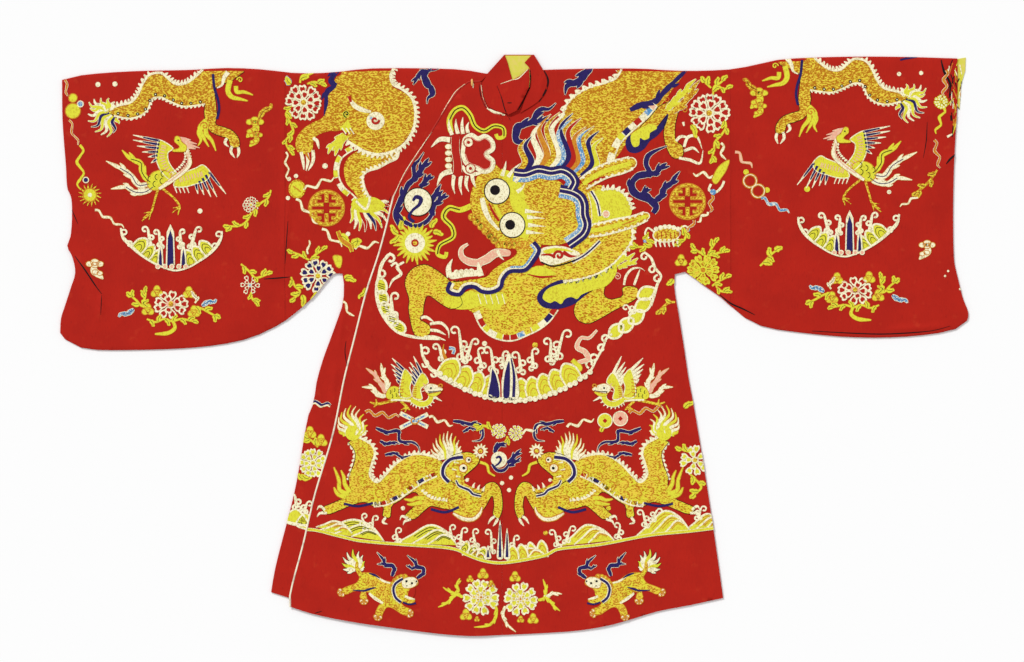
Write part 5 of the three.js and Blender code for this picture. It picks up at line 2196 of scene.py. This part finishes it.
        sprig(n, [(707, 257), (701, 253), (696, 250), (693, 246)], 4.6)
        sprig(n, [(707, 257), (711, 249), (717, 240)], 4.4, LIME)
        sprig(n, [(709, 256), (718, 253), (727, 251)], 4.2)
        Blossom((703, 270), 16, 10, LIME, GOLD, ORANGE, 0.9).sew(n)
        bud(n, (681, 261), 5.6)
        sprig(n, [(712, 286), (719, 281), (729, 276)], 4.6)
        sprig(n, [(716, 286), (721, 291), (729, 292)], 4.0)
        leaf(n, (673, 279), (667, 285), 5.0)
        sprig(n, [(675, 302), (668, 303), (658, 312)], 4.4, GOLD)


def skirt_beast(n: Needlework) -> None:
    """Sews the walking beast of the skirt, drawn as the left half has it.

    Args:
        n: The field that it is sewn in.
    """
    n.tuft(((345, 436), (362, 434)), [(339, 430), (338, 424), (339, 417), (342, 412), (346, 408), (351, 405),
        (356, 406), (360, 409), (364, 414), (367, 419), (368, 425), (368, 431)],
        [LIME, CREAM, CREAM, LIME, CREAM], 3.4, 1, 0.12, ORANGE)
    n.disc((353, 433), 7.5, LIME, 3)
    back = [(359, 437), (371, 444), (375, 453), (372, 464), (370, 475), (377, 482), (386, 474), (396, 463.5),
        (410, 455), (423, 454), (438, 458)]
    n.saw(back, 4.0, 4.4, CREAM, 1)
    n.fill([*smooth(back), *smooth([(452, 470), (458, 480), (470, 492), (480, 493), (486, 484), (494, 482),
        (500, 488), (502.5, 500), (502, 511), (498, 519), (493, 514), (494, 505), (492, 496), (487, 504),
        (482, 511), (473, 517.5), (461, 516), (450, 510), (440, 508), (431, 506), (424, 511), (414, 519),
        (405, 516), (412, 508), (420, 500), (414, 492), (399, 501), (392, 506), (390, 517), (383, 516),
        (383, 507), (373, 506), (364, 502), (352, 505), (340, 510), (328, 514), (322, 508), (332, 503),
        (344, 497), (349, 487), (349, 476), (354, 464), (355, 452), (348, 442)])], GOLD, 1, DARK, 0.6)
    n.stroke(back, [2.2], CREAM, 2)
    n.saw([(348, 442), (355, 453), (352, 466), (348, 480)], -2.0, 4.4, CREAM, 2)
    n.stripes([(374, 506.5), (386, 505), (399, 499), (412, 490), (424, 482), (437, 476)], 4.6,
              [CREAM, RED, CREAM, BLUE, CREAM, LIME, RED, CREAM, BLUE, CREAM, RED])
    n.saw([(421, 490), (431, 498), (448, 501)], 3.0, 4.0, CREAM, 3)
    n.stroke([(453, 513), (463, 518.5), (473, 519), (480, 513), (482, 507)], [1.2, 3.4, 3.4, 2.8, 0.8],
        CREAM, 3, ORANGE)
    n.stroke([(443, 480), (454, 489), (466, 496), (476, 499)], [6.0, 7.0, 6.0, 4.0], GOLD, 3)
    n.stroke([(344, 503.5), (358, 506), (373, 503)], [2.4], BLUE, 3)
    n.stroke([(431, 509), (445, 512), (459, 507)], [2.6], BLUE, 3)
    for path in (
        [(349, 494), (340, 490), (339, 480), (334, 467)],
        [(350, 492), (345, 484), (344, 477), (341, 470)],
        [(346, 497), (338, 494), (334, 487)],
        [(424, 498), (416, 498), (412, 500), (404, 499)],
        [(422, 502), (413, 504), (407, 504)],
    ):
        n.stroke(path, [4.4, 3.6, 2.8, 0.4], LIME, 3, ORANGE, 0.7)
    n.claws([[(325, 510), (320, 506), (317, 510)], [(327, 513), (320, 513), (317, 517)],
        [(386, 517), (383, 522), (388, 524)], [(408, 518), (402, 516), (400, 520)],
        [(411, 519), (405, 521), (403, 525)], [(495, 516), (491, 519), (488, 524)],
        [(498, 518), (496, 522), (493, 526)]], 2.4)
    n.tuft(((440, 460), (458, 457)), [(431, 449), (433, 443), (436, 438), (440, 434), (444, 433), (448, 431),
        (452, 433), (456, 436), (459, 440), (461, 446), (462, 450)], [CREAM, CREAM, CREAM, LIME],
        3.0, 4, 0.05, ORANGE)
    n.shape([(450, 457), (460, 453), (468, 452), (474, 454), (479, 458), (479, 462), (475, 467), (468, 473),
        (464, 478), (472, 484), (482, 488), (481, 493), (470, 491), (458, 485), (448, 478), (445, 468)],
        GOLD, 5, DARK, 0.6)
    for x, y in (
        (362, 452), (361, 466), (362, 480), (368, 491), (380, 493), (393, 484), (392, 496), (404, 474),
        (406, 486), (416, 466), (419, 477), (430, 465), (433, 475), (464, 503), (452, 500), (477, 500),
    ):
        n.line(arc((x, y), 4.4, 120, 300, 8), [0.9], ORANGE, 3)
    for x, y in ((473, 487.5), (478, 489.5), (483, 491)):
        n.stroke([(x, y), (x + 0.5, y - 2.5), (x + 2, y - 5)], [2.8, 2.0, 0.4], CREAM, 9)
    n.disc((467, 480), 1.8, CREAM, 8)
    n.stroke([(456, 480), (459, 485.5), (469, 490), (473, 494), (481, 496)], [1.0, 2.0, 2.2, 2.0, 1.6], BLUE,
        8, CREAM, 0.8)
    n.shape([(470, 479), (478, 484), (481, 489), (472, 487), (464, 482)], RED, 7)
    n.stroke([(463, 457), (451, 459), (444, 466), (443, 475), (449, 482)], [3.2], BLUE, 8, CREAM, 1.0)
    for x, y in ((454, 462), (452, 469), (456, 476)):
        n.stroke([(x, y), (x + 5, y + 1)], [2.0, 0.4], CREAM, 7)
    for centre, radius in (((468.3, 459.7), 3.2), ((463.2, 468), 4.3)):
        n.disc(centre, radius, CREAM, 8, ORANGE)
        n.disc((centre[0] + 0.6, centre[1]), radius * 0.36, DARK, 10)
    for k in range(12):
        n.stroke([polar((480.5, 451), 30 * k, 1.5), polar((480.5, 451), 30 * k + 8, 7.6)], [3.2, 2.6, 0.4],
            CREAM, 7, ORANGE, 0.4)
    n.disc((480.5, 451), 2.6, GOLD, 9, RED)
    n.stroke([(480, 462), (487, 465), (489, 472), (495, 476)], [2.4, 2.2, 2.0, 0.8], LIME, 7, ORANGE, 0.5)
    for points, width in (
        ([(376, 428), (387, 432), (398, 431), (400, 441), (412, 442), (418, 446), (420, 453)], 2.8),
        ([(380, 441), (388, 444), (394, 442), (400, 444)], 2.4),
        ([(385, 455), (394, 453), (402, 457), (411, 455)], 2.2),
        ([(453, 421), (462, 422), (469, 424), (480, 425), (483, 434), (480, 440), (472, 441)], 2.8),
        ([(463, 432), (470, 428), (477, 430)], 2.0),
    ):
        n.flame(points, width)


def lion(n: Needlework) -> None:
    """Sews the small maned beast of the hem, drawn as the left one.

    Args:
        n: The field that it is sewn in.
    """
    n.tuft(((355, 569), (360, 569)), [(347, 573), (343, 569), (342, 563), (343, 557), (347, 552), (353, 549),
        (359, 551), (363, 555), (365, 561), (365, 567)], [CREAM, CREAM, LIME], 4.4, 1, 0.06, DARK)
    n.stroke([(357, 562), (357, 568), (361, 575)], [1.2, 3.0, 4.0], GOLD, 4, ORANGE, 0.5)
    n.shape([(361, 573), (370, 572.5), (377, 575), (384, 580), (391, 582), (398, 590), (400, 600),
        (404, 606), (410, 609), (409, 615), (402, 614), (396, 610), (390, 607), (386, 608), (383, 613),
        (381, 617), (376, 616), (376, 611), (379, 605), (382, 602), (375, 598), (370, 593), (366, 592),
        (367, 598), (364, 600), (360, 597), (361, 591), (354, 591), (347, 594), (342, 593), (342, 589),
        (348, 586), (356, 583), (359, 579)], GOLD, 1, ORANGE, 0.6)
    n.stroke([(376, 576), (384, 581), (391, 583)], [1.0, 2.2, 1.0], CREAM, 4)
    n.stroke([(369, 573), (375, 575), (380, 578)], [0.8, 2.4, 0.6], BLUE, 5)
    n.stroke([(353, 590), (364, 590.5), (369, 589), (376, 587)], [0.8, 1.6, 2.4, 0.4], BLUE, 4)
    n.stroke([(369, 593), (375, 598), (383, 603)], [2.0, 3.2, 2.0], CREAM, 4)
    for centre, radius in (
        ((365, 580), 3.2), ((374, 582), 3.2), ((382, 588), 3.2), ((378, 594), 2.8), ((390, 592), 3.2),
        ((387, 600), 2.8), ((353, 587), 2.4), ((381, 609), 2.2), ((396, 606), 2.4),
    ):
        n.line(coil(centre, radius, 0, 1.2, 12), [0.8], ORANGE, 4)
    for centre, way in (((342, 592), 150), ((364, 600), 90), ((378, 616), 100), ((409, 613), 10)):
        for turn in (-75, -25, 25, 75):
            n.disc(polar(centre, way + turn, 2.6), 1.9, CREAM, 5, ORANGE)
    for k in range(6):
        n.disc(polar((404, 588), 185 + 18 * k, 11.5), 2.6, GOLD, 4, ORANGE)
    n.shape([(398, 582), (404, 577), (411, 577), (417, 580), (418, 584), (412, 588), (408, 592), (412, 597),
        (415, 601), (408, 604), (401, 601), (396, 595), (395, 588)], GOLD, 6, ORANGE, 0.6)
    n.shape([(402, 580), (408, 577), (414, 577), (418, 581), (415, 586), (409, 588), (403, 587)],
        CREAM, 8, ORANGE, 0.5)
    for centre, radius in (((406.5, 581), 1.2), ((412, 583), 1.2), ((416.5, 581), 0.9), ((407, 585.5), 0.6)):
        n.disc(centre, radius, DARK, 10)
    n.shape([(410, 589), (415, 588), (414, 596), (408, 596)], RED, 8)
    n.stroke([(405, 596), (410, 598), (415, 599)], [2.4, 2.4, 0.8], CREAM, 9)
    n.stroke([(403, 602), (409, 604), (416, 603)], [1.8], BLUE, 9)
    n.stroke([(403, 578.5), (396, 583), (393.5, 589), (395.5, 597), (401, 602)], [2.4], BLUE, 9, CREAM, 0.8)
    for points, width in (
        ([(392, 576), (394, 569), (392, 565), (385, 564), (383, 559), (377, 552)], 3.0),
        ([(393, 566), (388, 566), (383, 564), (377, 564)], 2.0),
        ([(417, 578), (423, 573), (423, 568), (417, 566), (414, 561), (407, 555)], 3.0),
        ([(417, 567), (412, 568), (406, 565)], 2.0),
    ):
        n.flame(points, width)


def skirt_phoenix(n: Needlework, quill: Thread) -> None:
    """Sews the small flying bird of the skirt, drawn as the left one.

    Args:
        n: The field that it is sewn in.
        quill: The thread of its feathers near their roots.
    """
    for points, thread in (
        ([(387, 391), (387, 382), (383, 374), (381, 363)], CREAM),
        ([(386, 393), (381, 384), (375, 375), (366, 368)], PINK),
        ([(386, 396), (378, 395), (373, 388), (362, 387)], CREAM),
    ):
        n.flame(points, 3.6, thread, 2, ORANGE)
    for roots, ends, arm in (
        (((405, 371), (400, 383)), [(392, 358), (391, 364), (392, 369), (394, 374), (396, 379)],
         [(400, 396), (401, 380), (405, 369), (412, 378), (410, 387), (411, 397)]),
        (((422, 374), (415, 385)), [(413.5, 356), (410, 362), (409, 367), (410, 373), (411, 378)],
         [(413, 397), (414, 387), (422, 373), (428.5, 382), (421, 389), (422, 399)]),
    ):
        for i, tip in enumerate(ends):
            root = along(*roots, i / 4)
            n.stroke([root, along(root, tip, 0.5), tip], [3.4, 2.8, 0.5], CREAM, 2)
            n.stroke([root, along(root, tip, 0.66)], [2.4, 1.2], quill, 4)
        n.shape(arm, LIME, 5, CREAM, 0.9)
        for k in range(6):
            x, y = along(arm[0], arm[1], k / 5)
            n.stroke([(x - 2, y), (x + 3, y - 0.6)], [0.8], ORANGE, 7)
    n.shape([(386, 394), (389, 388), (394, 386), (400, 388), (406, 394), (413, 397), (424, 401), (424, 405),
        (414, 403), (402, 401), (392, 400), (387, 398)], LIME, 4, ORANGE, 0.5)
    for x, y in ((389, 392), (393, 390), (397, 391), (391, 396), (395, 395), (399, 395)):
        n.stroke(arc((x, y), 2.0, -60, 60, 5), [0.6], DARK, 7)
    n.stroke([(391, 400), (401, 400), (411, 401)], [1.8], CREAM, 7)
    neck = [(412, 400), (420, 404), (427, 403), (431, 398), (430, 391)]
    n.saw(neck, -5.4, 2.6, CREAM, 5)
    n.stroke(neck, [4.2, 5.0, 5.0, 4.6, 4.0], LIME, 7, CREAM, 0.6)
    for tip in ((423, 383), (420, 387), (421, 392)):
        n.stroke([(428, 389), tip], [2.0, 0.4], PINK, 8)
    n.shape([(424, 387), (430, 383.5), (437, 385), (443, 389), (440, 391.5), (433, 393), (427, 393)], CREAM,
        9, ORANGE, 0.5)
    n.shape([(428, 392), (436, 392), (441, 392), (436, 396), (429, 396)], LIME, 9, ORANGE, 0.4)
    n.stroke([(428, 391.5), (435, 391.5), (441, 390.5)], [0.7], DARK, 12)
    n.disc((431, 388), 1.0, DARK, 12)
    n.stroke(coil((441, 386), 2.6, 150, 1.0), [1.4], ORANGE, 10)
    n.stroke([(434, 396), (438, 399), (442, 401)], [2.0, 2.2, 0.4], CREAM, 8)
    for leg in ([(397, 400), (387, 402), (377, 404), (370, 402)], [(401, 401), (407, 407), (410, 410)]):
        n.stroke(leg, [2.6, 2.2, 2.4, 0.8], GOLD, 3, ORANGE, 0.3)
    for heel, toe in (
        ((377, 404), (374, 407)), ((377, 404), (376, 399)), ((407, 407), (401, 410)),
        ((407, 407), (405, 412)),
    ):
        n.stroke([heel, toe], [2.0, 0.6], GOLD, 3, ORANGE, 0.3)


@dataclass
class Skirt:
    """The band of beasts over the wave border on the skirt."""

    fold: float = 508.5  # the right beast is the left one turned over about this line
    bird_fold: float = 517.5  # and the right bird about this one
    shore: tuple[Point, ...] = ((300, 529), (316, 530), (340, 536), (360, 540.5), (400, 544), (443, 547),
        (458, 549.8), (467, 554.4), (482, 560), (498.7, 562.7), (517, 561), (545, 555.3), (558, 549),
        (600, 544.2), (650, 535), (690, 531), (722, 527))

    def sew(self, n: Needlework) -> None:
        """Sews the band.

        Args:
            n: The field that it is sewn in.
        """
        skirt_beast(n)
        with n.moved(self.fold):
            skirt_beast(n)
        skirt_phoenix(n, BLUE)
        with n.moved(self.bird_fold):
            skirt_phoenix(n, CREAM)
        self._pearl(n)
        self._emblems(n)
        self._waves(n)
        self._side_flower(n)

    def _pearl(self, n: Needlework) -> None:
        """Sews the pearl between the beasts, with its flames and drops.

        Args:
            n: The field that it is sewn in.
        """
        for points, width in (
            ([(495, 453), (496, 447), (501, 444), (507, 443)], 3.4),
            ([(507, 463), (512, 459), (516, 454), (521, 449)], 3.4),
            ([(509, 466), (515, 462), (521, 457)], 2.6),
        ):
            n.flame(points, width)
        n.stroke([(492, 464), (497, 470), (504, 470), (509, 464)], [2.0, 3.2, 3.2, 2.0], BLUE, 3, CREAM, 0.4)
        n.disc((499, 459.5), 8.0, CREAM, 4)
        n.stroke([(496, 458), (499, 456.5), (501, 459), (499, 463), (495, 466)], [1.8, 2.4, 2.2, 1.8, 1.2],
            BLUE, 7)
        beads(n, ((467.5, 480), (511, 477.5), (502, 483), (509, 490), (403, 508)), 2.2)
        beads(n, ((608.5, 508), (545.5, 533)), 2.4, GOLD)

    def _emblems(self, n: Needlework) -> None:
        """Sews the ribboned charms over the beasts: crossed scrolls, coins and daisies.

        Args:
            n: The field that it is sewn in.
        """
        ribbon(n, (365.5, 412), (399, 417), 2.5, 2.2, 2.4, ORANGE)
        for a, b in (((400, 413), (428, 427)), ((400, 428), (428, 414))):
            n.line([a, b], [4.4], CREAM, 3)
            n.line([along(a, b, 0.1), along(a, b, 0.9)], [1.6], SKY, 5)
        n.stroke(coil((414, 420), 5.0, 0, 1.0), [1.4], ORANGE, 6)
        ribbon(n, (429, 417), (453, 425), 2.0, 2.0, 2.4)
        for centre in ((499, 431), (516, 433)):
            Blossom(centre, 7.6, 10, CREAM, LIME, GOLD).sew(n)
        sprig(n, [(493, 430), (485, 426), (476, 425)], 4.6)
        sprig(n, [(507, 436), (508, 442)], 3.0)
        ribbon(n, (523, 433), (544, 425), 1.5, 2.0, 2.4)
        ribbon(n, (567, 427), (594, 418.5), 2.0, 2.2, 2.4)
        for centre, thread in (((604.9, 420.7), LIME), ((620.3, 418.5), PINK)):
            n.disc(centre, 7.2, thread, 3, CREAM)
            x, y = centre
            n.fill([(x - 2.4, y), (x, y - 2.4), (x + 2.4, y), (x, y + 2.4)], RED, 6)
        ribbon(n, (629, 413), (663, 407.5), 2.5, 2.2, 2.4, ORANGE)
        leaf(n, (601, 432), (604, 426), 4.0)

    def _waves(self, n: Needlework) -> None:
        """Sews the shore with its hills, humps, rocks and foam.

        Args:
            n: The field that it is sewn in.
        """
        hills = (((316, 531), (353, 519.5), (384, 541), GOLD), ((316, 527), (334, 521), (352, 533), LIME),
                 ((396, 543), (429.5, 525), (457, 545), GOLD), ((462, 555), (474, 546), (486, 560), LIME),
                 ((508, 560), (524, 546), (545, 555), LIME), ((560, 546), (586, 525), (614, 540), LIME),
                 ((634, 538), (664, 511), (690, 531), LIME), ((684, 531), (706, 514), (724, 528), LIME))
        for a, top, b, thread in hills:
            for k in range(3):
                left, peak = along(a, b, 0.26 * k), along(top, b, 0.24 * k)
                level = 1 + 2 * k
                path = [left, along(left, peak, 0.45), peak,
                    (b[0] - (b[0] - peak[0]) * 0.4, peak[1] + (b[1] - peak[1]) * 0.3), b]
                n.fill([*smooth(path), along(left, b, 0.5)], LIME, level)
                n.stroke(path, [1.4, 2.0, 1.4], CREAM, level + 1)
                for shrink in (0.13, 0.26):
                    inner = [along(q, along(left, b, 0.6), shrink) for q in path[1:-1]]
                    n.stroke(inner, [0.75], DARK if thread is GOLD else ORANGE, level + 1)
        for feet, rise, ink in (
            ([(459, 552), (467, 555), (476, 558), (485, 561)], 13, DARK),
            ([(548, 557), (538, 558), (529, 560), (519, 562), (508, 563)], 17, ORANGE),
        ):
            for k, (a, b) in enumerate(zip(feet, feet[1:])):
                n.hump(*sorted((a, b)), rise, 1 + 2 * k, ink)
        n.stroke(self.shore, [2.4], LIME, 9, CREAM, 0.4)
        for x, top in ((488, 545), (500, 520), (507, 528)):
            n.shape([(x - 3, 558), (x - 2, (558 + top) / 2), (x, top), (x + 2, (558 + top) / 2),
                (x + 3, 558)], CREAM, 10)
            n.line([(x, 557), (x, top + 5)], [2.8, 1.0], BLUE, 12)
        for root, tip, size, side in (
            ((366, 528), (362, 517), 3.4, 1), ((372, 532), (373, 518), 3.4, 1),
            ((398, 542), (396, 531), 3.6, 1), ((452, 540), (450, 528), 3.6, 1),
            ((460, 545), (462, 530), 3.6, 1), ((476, 548), (473, 532), 3.6, 1),
            ((492, 552), (491, 532), 3.6, -1), ((514, 552), (514, 538), 3.4, 1),
            ((558, 546), (555, 532), 3.6, -1), ((566, 542), (570, 528), 3.6, 1),
            ((618, 538), (620, 526), 3.6, -1), ((646, 526), (643, 512), 3.6, -1),
            ((652, 520), (657, 510), 3.4, 1), ((698, 518), (701, 508), 3.4, 1),
        ):
            n.spray(root, tip, size * 0.9, side, 1.8)

    def _side_flower(self, n: Needlework) -> None:
        """Sews the flower at the right edge of the skirt.

        Args:
            n: The field that it is sewn in.
        """
        leaf(n, (684, 408), (694, 402), 5.0)
        sprig(n, [(690, 452), (684, 450), (678, 448)], 5.0)
        Blossom((695, 460), 15, 9, CREAM, LIME, GOLD, 0.95).sew(n)
        sprig(n, [(690, 474), (698, 482), (701, 488), (692, 496)], 5.2)


@dataclass
class HemBorder:
    """The lions and peonies along the hem."""

    fold: float = 501.5  # the right lion is the left one turned over about this line

    def sew(self, n: Needlework) -> None:
        """Sews the border.

        Args:
            n: The field that it is sewn in.
        """
        lion(n)
        with n.moved(self.fold):
            lion(n)
        for centre, radius, rim in (((481, 597), 18, CREAM), ((520.5, 599), 17, CREAM)):
            Blossom(centre, radius, 10, rim, LIME, ORANGE, 0.95).sew(n)
            Blossom(centre, radius * 0.5, 6, CREAM, GOLD, ORANGE, 0.95).sew(n, 9)
        for points, thread in (
            ([(463, 597), (454, 593), (449, 591), (443, 587)], LIME),
            ([(456, 594), (450, 600), (445, 604), (438, 607)], LIME),
            ([(455, 593), (458, 590), (457, 584), (460, 578)], LIME),
            ([(538, 600), (544, 598), (546, 590), (543, 579)], LIME),
            ([(544, 596), (549, 595), (555, 593), (562, 594)], CREAM),
            ([(545, 596), (550, 601), (554, 606), (560, 611)], LIME),
            ([(496, 606), (496, 616), (489, 625), (474, 627)], LIME),
            ([(505, 606), (503, 616), (508, 625), (516, 632)], CREAM),
        ):
            n.flame(points, 2.3, thread, 3, ORANGE)
        for centre, size in (
            ((483, 574), 5.0), ((470, 579), 3.2), ((491, 584), 3.2), ((515, 577), 5.0), ((533, 619), 5.0),
            ((520.5, 619.5), 3.2), ((466, 615), 5.4), ((477, 619), 2.4),
        ):
            bud(n, centre, size)


def side_strip(n: Needlework) -> None:
    """Sews what shows on the under front, left of the lap.

    Args:
        n: The field that it is sewn in.
    """
    ribbon(n, (312, 402), (331, 405), 1.5, 1.4, 2.4, BLUE)
    ribbon(n, (312, 404), (330, 407), 1.5, 1.4, 1.6, CREAM)
    for centre in ((310, 433), (321, 441)):
        bud(n, centre, 5.8)
    sprig(n, [(318, 447), (312, 441), (306, 437)], 4.6)
    Blossom((313, 463), 14, 12, CREAM, LIME, GOLD).sew(n)
    sprig(n, [(312, 477), (305, 480), (300, 476)], 4.8)
    for a, top, b in (((284, 520), (296, 509), (308, 523)), ((296, 524), (306, 513), (316, 527))):
        n.shape([a, top, b, ((a[0] + b[0]) / 2, b[1] + 2)], LIME, 1, CREAM, 1.6)
    n.stroke([(284, 521), (296, 524), (314, 527)], [2.6], CREAM, 4)
    n.spray((297, 508), (295, 496), 3.6, -1, 2.2)
    n.spray((304, 512), (307, 503), 3.0, 1, 2.0)


def seam_lines_and_painted_light(n: Needlework) -> None:
    """Sews the seam stitching, dark lines of painted shade along the sharpest creases, cream lines of
    painted highlight along the edges that catch light, and the fray.

    Args:
        n: The field that it is sewn in.
    """
    for points in (
        [(285, 74), (286, 120), (285, 200), (284, 268), (286, 318)],
        [(730, 70), (730, 150), (731, 240), (730, 300)],
    ):
        n.stroke(points, [0.45], RED, 0)
    # Dark lines of painted shade along the sharpest creases and folds.
    for points, width in (
        ([(75, 256), (84, 268), (96, 286), (102, 294)], 1.4), ([(102, 295), (101, 315)], 0.7),
        ([(264, 279), (278, 278), (290, 277)], 1.2), ([(288, 221), (286, 250), (285, 264)], 0.8),
        ([(346, 341), (345, 352), (347, 366)], 0.8), ([(315, 613), (322, 611)], 0.8),
        ([(941, 60), (944, 72), (950, 84), (949, 96)], 2.4), ([(956, 154), (950, 159), (946, 164)], 2.0),
        ([(927, 122), (926, 140), (923, 158)], 0.8), ([(719, 294), (730, 303), (743, 309), (755, 315)], 1.5),
        ([(812, 331), (880, 334), (930, 331), (950, 326)], 1.1), ([(391, 196), (384, 214), (379, 230)], 0.9),
        ([(72, 210), (78, 224)], 0.8), ([(530, 70), (530.5, 84), (526, 96), (518, 110)], 1.6),
        ([(544, 70.5), (548, 79.7), (546, 90), (539, 102)], 1.9), ([(507, 103), (512, 103)], 1.0),
        ([(497, 86), (501, 96), (505, 110), (510.4, 120.5)], 0.9), ([(479, 84), (481, 97), (486, 108)], 0.8),
    ):
        n.stroke(points, [width * 0.4, width, width, width * 0.3], DARK, 0)
    # Cream lines of painted highlight along the folded edges that catch light.
    for points, width in (
        ([(500.5, 84), (512, 80), (518.5, 78.5), (528.8, 68.5)], 0.9),
        ([(487, 108), (494, 112), (505, 115)], 2.6),
        ([(465, 84), (456, 91), (448, 103), (441, 115)], 0.7),
        ([(432, 132), (418, 152), (404, 174), (393, 198)], 0.8),
        ([(481, 85), (483, 97), (487, 107)], 0.6),
        ([(471, 80), (473, 84), (473, 88)], 1.6),
    ):
        n.stroke(points, [width * 0.5, width, width, width * 0.4], CREAM, 0)
    frayed_edge(n)


def frayed_edge(n: Needlework) -> None:
    """Sews the loose threads at the upper corner of the cuff at the right of the chart.

    Args:
        n: The field that it is sewn in.
    """
    (left, top), (right, bottom) = (949, 57), (963, 128)
    fray = random.Random(5)
    count = 64
    for _ in range(count):
        x, y = fray.uniform(left, right), fray.uniform(top, bottom)
        end = (x + fray.uniform(-4, 4), y + fray.uniform(4, 11))
        width = fray.uniform(0.5, 1.2)
        thread = fray.choice((CREAM, LIME, DARK, ORANGE))
        n.stroke([(x, y), along((x, y), end, 0.5), end], [width], thread, 1)


# --- studio


@dataclass
class Studio:
    """A white table top, soft light from one side and a camera straight above."""

    camera_height: float = 5.08
    camera_at: Point = (-0.0047, 0.0300)
    lens: float = 85.0  # millimetres, on a 36 mm wide sensor
    table: float = 14.0  # metres along each side
    sky: float = 0.62  # strength of the light all round
    sun: float = 2.1  # strength of the light from the side
    sun_height: float = 36.0  # degrees over the table
    sun_from: float = 128.0  # degrees round from the right edge
    sun_width: float = 14.0  # degrees across, which softens the shadows
    drop: float = 0.6 * MM  # how far the table top lies under the robe
    white: Colour = (0.97, 0.97, 0.97)

    def build(self) -> None:
        """Makes the table, the lights and the camera."""
        self._table()
        self._lights()
        camera = bpy.data.objects.new("camera", bpy.data.cameras.new("camera"))
        camera.data.lens = self.lens
        camera.data.clip_end = 100
        camera.location = (*self.camera_at, self.camera_height)
        bpy.context.scene.collection.objects.link(camera)
        bpy.context.scene.camera = camera
        bpy.context.scene.view_settings.view_transform = "Standard"

    def _table(self) -> None:
        """Makes the white surface under the robe."""
        half = self.table / 2
        mesh = bpy.data.meshes.new("table_top")
        mesh.from_pydata([(-half, -half, 0), (half, -half, 0), (half, half, 0), (-half, half, 0)], [],
            [(0, 1, 2, 3)])
        s = Shader("white_table", roughness=0.9, specular=0.0)
        s.principled.inputs["Base Color"].default_value = (*self.white, 1)
        mesh.materials.append(s.material)
        top = bpy.data.objects.new("table_top", mesh)
        top.location.z = -self.drop
        bpy.context.scene.collection.objects.link(top)

    def _lights(self) -> None:
        """Makes the even light all round and the soft light from the side."""
        world = bpy.data.worlds.new("studio_air")
        world.use_nodes = True
        world.node_tree.nodes["Background"].inputs["Color"].default_value = (1, 1, 1, 1)
        world.node_tree.nodes["Background"].inputs["Strength"].default_value = self.sky
        bpy.context.scene.world = world
        lamp = bpy.data.lights.new("side_light", "SUN")
        lamp.energy = self.sun
        lamp.angle = math.radians(self.sun_width)
        light = bpy.data.objects.new("side_light", lamp)
        tilt, turn = math.radians(self.sun_height), math.radians(self.sun_from)
        towards = Vector((math.cos(tilt) * math.cos(turn), math.cos(tilt) * math.sin(turn), math.sin(tilt)))
        light.rotation_euler = towards.to_track_quat("Z", "Y").to_euler()
        bpy.context.scene.collection.objects.link(light)


def main() -> None:
    """Dresses the robe."""
    logging.basicConfig(level=logging.INFO, format="%(message)s")
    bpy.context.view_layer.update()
    Studio().build()
    cloth = RobeCloth().build()
    ground = Ground(cloth.values())
    threads = thread_materials()
    front = ("front_overlap", "body_left")
    fields = (
        ("chest_beast", front, ChestBeast().sew),
        ("chest_waves", front, ChestWaves().sew),
        ("left_shoulder", ("body_right", "sleeve_right"), Shoulders().sew_left),
        ("right_shoulder", ("body_left", "sleeve_left"), Shoulders().sew_right),
        ("left_sleeve", ("sleeve_right", "body_right"), LeftSleeve().sew),
        ("right_sleeve", ("sleeve_left", "body_left"), RightSleeve().sew),
        ("skirt", front, Skirt().sew),
        ("hem_border", front, HemBorder().sew),
        ("side_strip", ("body_right",), side_strip),
        ("seams_and_painted_light", tuple(cloth), seam_lines_and_painted_light),
    )
    for name, panels, sew in fields:
        needle = Needlework(f"{name}_stitches", ground, panels)
        sew(needle)
        needle.finish(threads)


if __name__ == "__main__":
    main()
